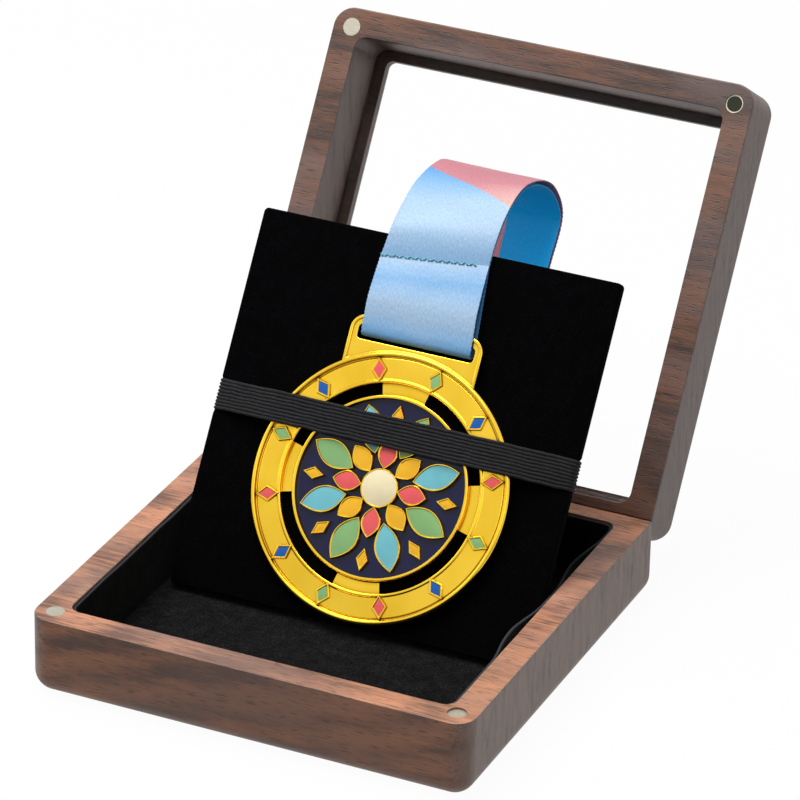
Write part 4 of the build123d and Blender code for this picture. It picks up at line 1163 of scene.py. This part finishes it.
def on_ribbon(up_board, out, side):
    """A point on one edge of the sewn end, in the box's millimetres; the edge sways up to the seam."""
    share = max(0.0, (up_board - BAR_LOW) / (SEAM_UP - BAR_LOW))
    sway = LEFT_SWAY if side < 0 else RIGHT_SWAY
    point = BOARD_FOOT + BOARD_UP * (up_board + side * SEAM_SLANT * share) + BOARD_OUT * out
    return Vector((RIBBON_X + side * RIBBON_HALF + sway * share, point.y, point.z))


turn_up = BAR_LOW - 1.2
turn_radius = (CLOTH_FRONT - CLOTH_BACK) / 2
loop_shape = [(up_board, CLOTH_BACK) for up_board in (SEAM_UP, 88.0, 80.0, turn_up)]
for i in range(1, 6):
    angle = pi * i / 6
    loop_shape.append((turn_up - turn_radius * sin(angle), CLOTH_BACK + turn_radius * (1 - cos(angle))))
loop_shape += [(turn_up, CLOTH_FRONT), (BAR_HIGH - 0.6, CLOTH_FRONT + 0.3), (83.0, CLOTH_FRONT + 0.5),
               (89.0, CLOTH_FRONT - 0.55), (SEAM_UP, SEAM_FACE - 0.25)]
loop_edges = [through([on_ribbon(up_board, out, side) for up_board, out in loop_shape]) for side in (-1, 1)]
loop_length = sum(line_length(edge) for edge in loop_edges) / 2
loop_left, loop_right = [evenly(line, round(loop_length / CLOTH_STEP)) for line in loop_edges]

fall = [(72.9, 61.2), (58.9, 44.3), (48.1, 25.4), (43.5, 14.0), (43.1, 7.7)]
left_points = [on_ribbon(SEAM_UP, SEAM_FACE, -1), (-13.4, 47.8, 88.2), (-13.1, 50.4, 91.7),
               (-13.5, 58.8, 95.6), (-13.8, 65.7, 97.6), (-13.6, 76.0, 98.1), (-13.4, 84.5, 95.8),
               (-13.2, 90.3, 87.6), (-13.2, 85.6, 76.0)]
right_points = [on_ribbon(SEAM_UP, SEAM_FACE, 1), (15.7, 50.4, 92.4), (16.0, 59.2, 99.9), (16.2, 66.9, 102.1),
                (16.6, 77.7, 99.4), (17.0, 86.8, 92.6), (17.2, 91.0, 84.4), (17.2, 84.6, 74.2)]
arch_edges = [through(points + [(RIBBON_X + side * RIBBON_HALF, y, z) for y, z in fall])
              for points, side in ((left_points, -1), (right_points, 1))]
arch_length = sum(line_length(edge) for edge in arch_edges) / 2
arch_left, arch_right = [evenly(line, round(arch_length / CLOTH_STEP)) for line in arch_edges]
cut = min(i for i, point in enumerate(arch_right) if point.y > FRONT_END)
front_length = line_length(middle_line(arch_left[:cut + 1], arch_right[:cut + 1]))

LOOP_FRONT = (loop_length - 25) * MM
PAINTED_LIGHT_SPAN = (0.0, 0.060)
PINK_AT_LEFT = 0.0335
PINK_AT_RIGHT = 0.0165
pink_slant = (PINK_AT_LEFT - PINK_AT_RIGHT) / (2 * RIBBON_HALF * MM)
# Painted highlights and painted shade along the ribbon, from its start to its end.
loop_painted_light = [(0.0, SHADED_BLUE), (0.12, MID_BLUE), (0.36, LIT_BLUE), (0.5, LIT_BLUE), (0.75, MID_BLUE),
               (1.0, LIT_BLUE)]
outer_painted_light = [(0.0, mixed_paint(MID_BLUE, LIT_BLUE, 0.4)), (0.15, LIT_BLUE), (0.3, LIT_BLUE),
                (0.45, MID_BLUE), (0.6, SHADED_BLUE)]
pink_painted_light = [(0.27, LIT_PINK), (0.45, ROSE), (1.0, ROSE)]
loop_satin = satin("satin, sewn end", loop_painted_light, loop_painted_light, 1.0, 0.0, (LOOP_FRONT, loop_length * MM))
outer_satin = satin("satin, outer strand", outer_painted_light, pink_painted_light, (PINK_AT_LEFT + PINK_AT_RIGHT) / 2,
                    pink_slant, PAINTED_LIGHT_SPAN)
# Painted shade from the dark back blue to the bright one along the inner strand, and a painted glow for light
# through the cloth.
inner_satin = satin("satin, inner strand", [(0.1, BACK_SHADED), (0.8, BACK_BLUE)], [(0.0, ROSE), (1.0, ROSE)],
                    0.040, -20.0, (0.03, 0.08), glow=0.34)
hank_satin = satin("satin, folded length", pink_painted_light, pink_painted_light, 1.0, 0.0, PAINTED_LIGHT_SPAN)


def ribbon_piece(name, left, right, material, body, stands_for=(), held="draped", rests_on="velvet_board",
                 **form):
    """One strip of ribbon as a sheet of cloth."""
    piece = new_piece(name, strand(name, left, right, **form), material, body, stands_for)
    return piece


ribbon_piece("ribbon_loop", loop_left, loop_right, loop_satin, "board", ["ribbon_sewn_loop"],
             held="stretched", rests_on="medal_gold_body", depth=0.0, seams=(loop_length - 0.3,))

OUTER_DEPTH = 0.25
INNER_DEPTH = 0.87
PARTING = 1.1
fold_axis = (BOARD_UP * 0.84 - BOARD_OUT * 0.543 - BOARD_RIGHT * 0.0857).normalized()
fold_anchor = (BOARD_FOOT + BOARD_UP * SEAM_UP + BOARD_OUT * SEAM_FACE - fold_axis * 1.2) * MM
fold_anchor.x = RIBBON_X * MM
front_edges = (arch_left[:cut + 1], arch_right[:cut + 1])
back_edges = (arch_left[cut:], arch_right[cut:])
for kind, depth, parting, material in (("outer", OUTER_DEPTH, PARTING, outer_satin),
                                       ("inner", INNER_DEPTH, 0.0, inner_satin)):
    outer = kind == "outer"
    piece = ribbon_piece(f"ribbon_front_{kind}", *front_edges, material, "board",
                         ["ribbon_arch_front"] if outer else (), depth=depth, seams=(0.0,), parting=parting)
    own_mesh(piece)
    piece = ribbon_piece(f"ribbon_back_{kind}", *back_edges, material, "easel",
                         ["ribbon_arch_back"] if outer else (), rests_on="velvet_floor", depth=depth,
                         start=front_length, parting=parting)
    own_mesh(piece)

HANK_LAYERS = 5
HANK_ENDS = (15.0, 45.0)
HANK_LOW = 4.6
HANK_PITCH = 0.645
hank_line = []
for layer in range(HANK_LAYERS):
    z = HANK_LOW + layer * HANK_PITCH
    start, end = HANK_ENDS if layer % 2 == 0 else HANK_ENDS[::-1]
    hank_line += [Vector((0, start, z)), Vector((0, end, z))]
    way = 0.55 if end > start else -0.55
    if layer < HANK_LAYERS - 1:
        for i in range(1, 6):
            angle = pi * i / 6
            hank_line.append(Vector((0, end + way * sin(angle), z + HANK_PITCH * (1 - cos(angle)) / 2)))
hank_line = evenly(hank_line, round(line_length(hank_line) / 0.3))
hank_edges = [[point + Vector((RIBBON_X + side * RIBBON_HALF, 0, 0)) for point in hank_line]
              for side in (-1, 1)]
ribbon_piece("ribbon_folded", *hank_edges, hank_satin, "base", ["ribbon_hank"], held="folded",
             rests_on="velvet_floor", depth=0.0, columns=24)


# Seam: a zigzag row of teal stitches through the four layers where the ribbon's end is closed.
# Each stitch is a short length of thread pulled into the satin.
STITCHES = 25
SEAM_WIDTH = 25.4
STITCH_SLANT = radians(38)

tree, given = new_tree("zigzag seam", Stitches="Int", Width="Float", Slant="Float")
gaps = arithmetic(tree, "SUBTRACT", given["Stitches"], 1)
pitch = arithmetic(tree, "DIVIDE", given["Width"], gaps)
row = centred_row(tree, "X", given["Stitches"], pitch, given["Width"])
number = add_node(tree, "GeometryNodeInputIndex").outputs[0]
sign = arithmetic(tree, "MULTIPLY_ADD", arithmetic(tree, "MODULO", number, 2), 2, -1)
tilt = arithmetic(tree, "MULTIPLY", sign, given["Slant"])
seam_tree = close_tree(tree, copies(tree, row, given["Geometry"], tilt), given["Finish"])
teal_thread = flecked("teal thread", (4000, 4000, 4000), 2, paint(70, 144, 164), paint(112, 184, 200),
                      0.6, 0.00004, 0.6)


def thread_stitch(length, radius, lift):
    """A short thread that dives into the cloth at both ends."""
    loops = []
    for i in range(7):
        t = i / 6
        centre = Vector(((t - 0.5) * length, 0, lift * sin(pi * t) - radius))
        girth = radius * (0.5 + 0.5 * sin(pi * t))
        loops.append([centre + Vector((0, y, z)) for y, z in circle(girth, 6)])
    return skin(loops)


stitch = solid_mesh("stitch", [thread_stitch(1.35, 0.21, 0.42)])
seam_mesh = grown("seam_stitches", stitch, seam_tree, Stitches=STITCHES, Width=SEAM_WIDTH, Slant=STITCH_SLANT,
                  Finish=teal_thread)
seam_turn = Matrix.Rotation(atan2(SEAM_SLANT, RIBBON_HALF), 4, "Z")
seam_place = Matrix.Translation((RIBBON_X - BOARD_FOOT.x - 2.8, SEAM_UP - 0.2, SEAM_FACE + 0.14))
seam_mesh.transform(BOARD @ seam_place @ seam_turn)
smooth_by_angle(seam_mesh, radians(60))
new_piece("seam_stitches", seam_mesh, teal_thread, "board", ["ribbon_stitches"])
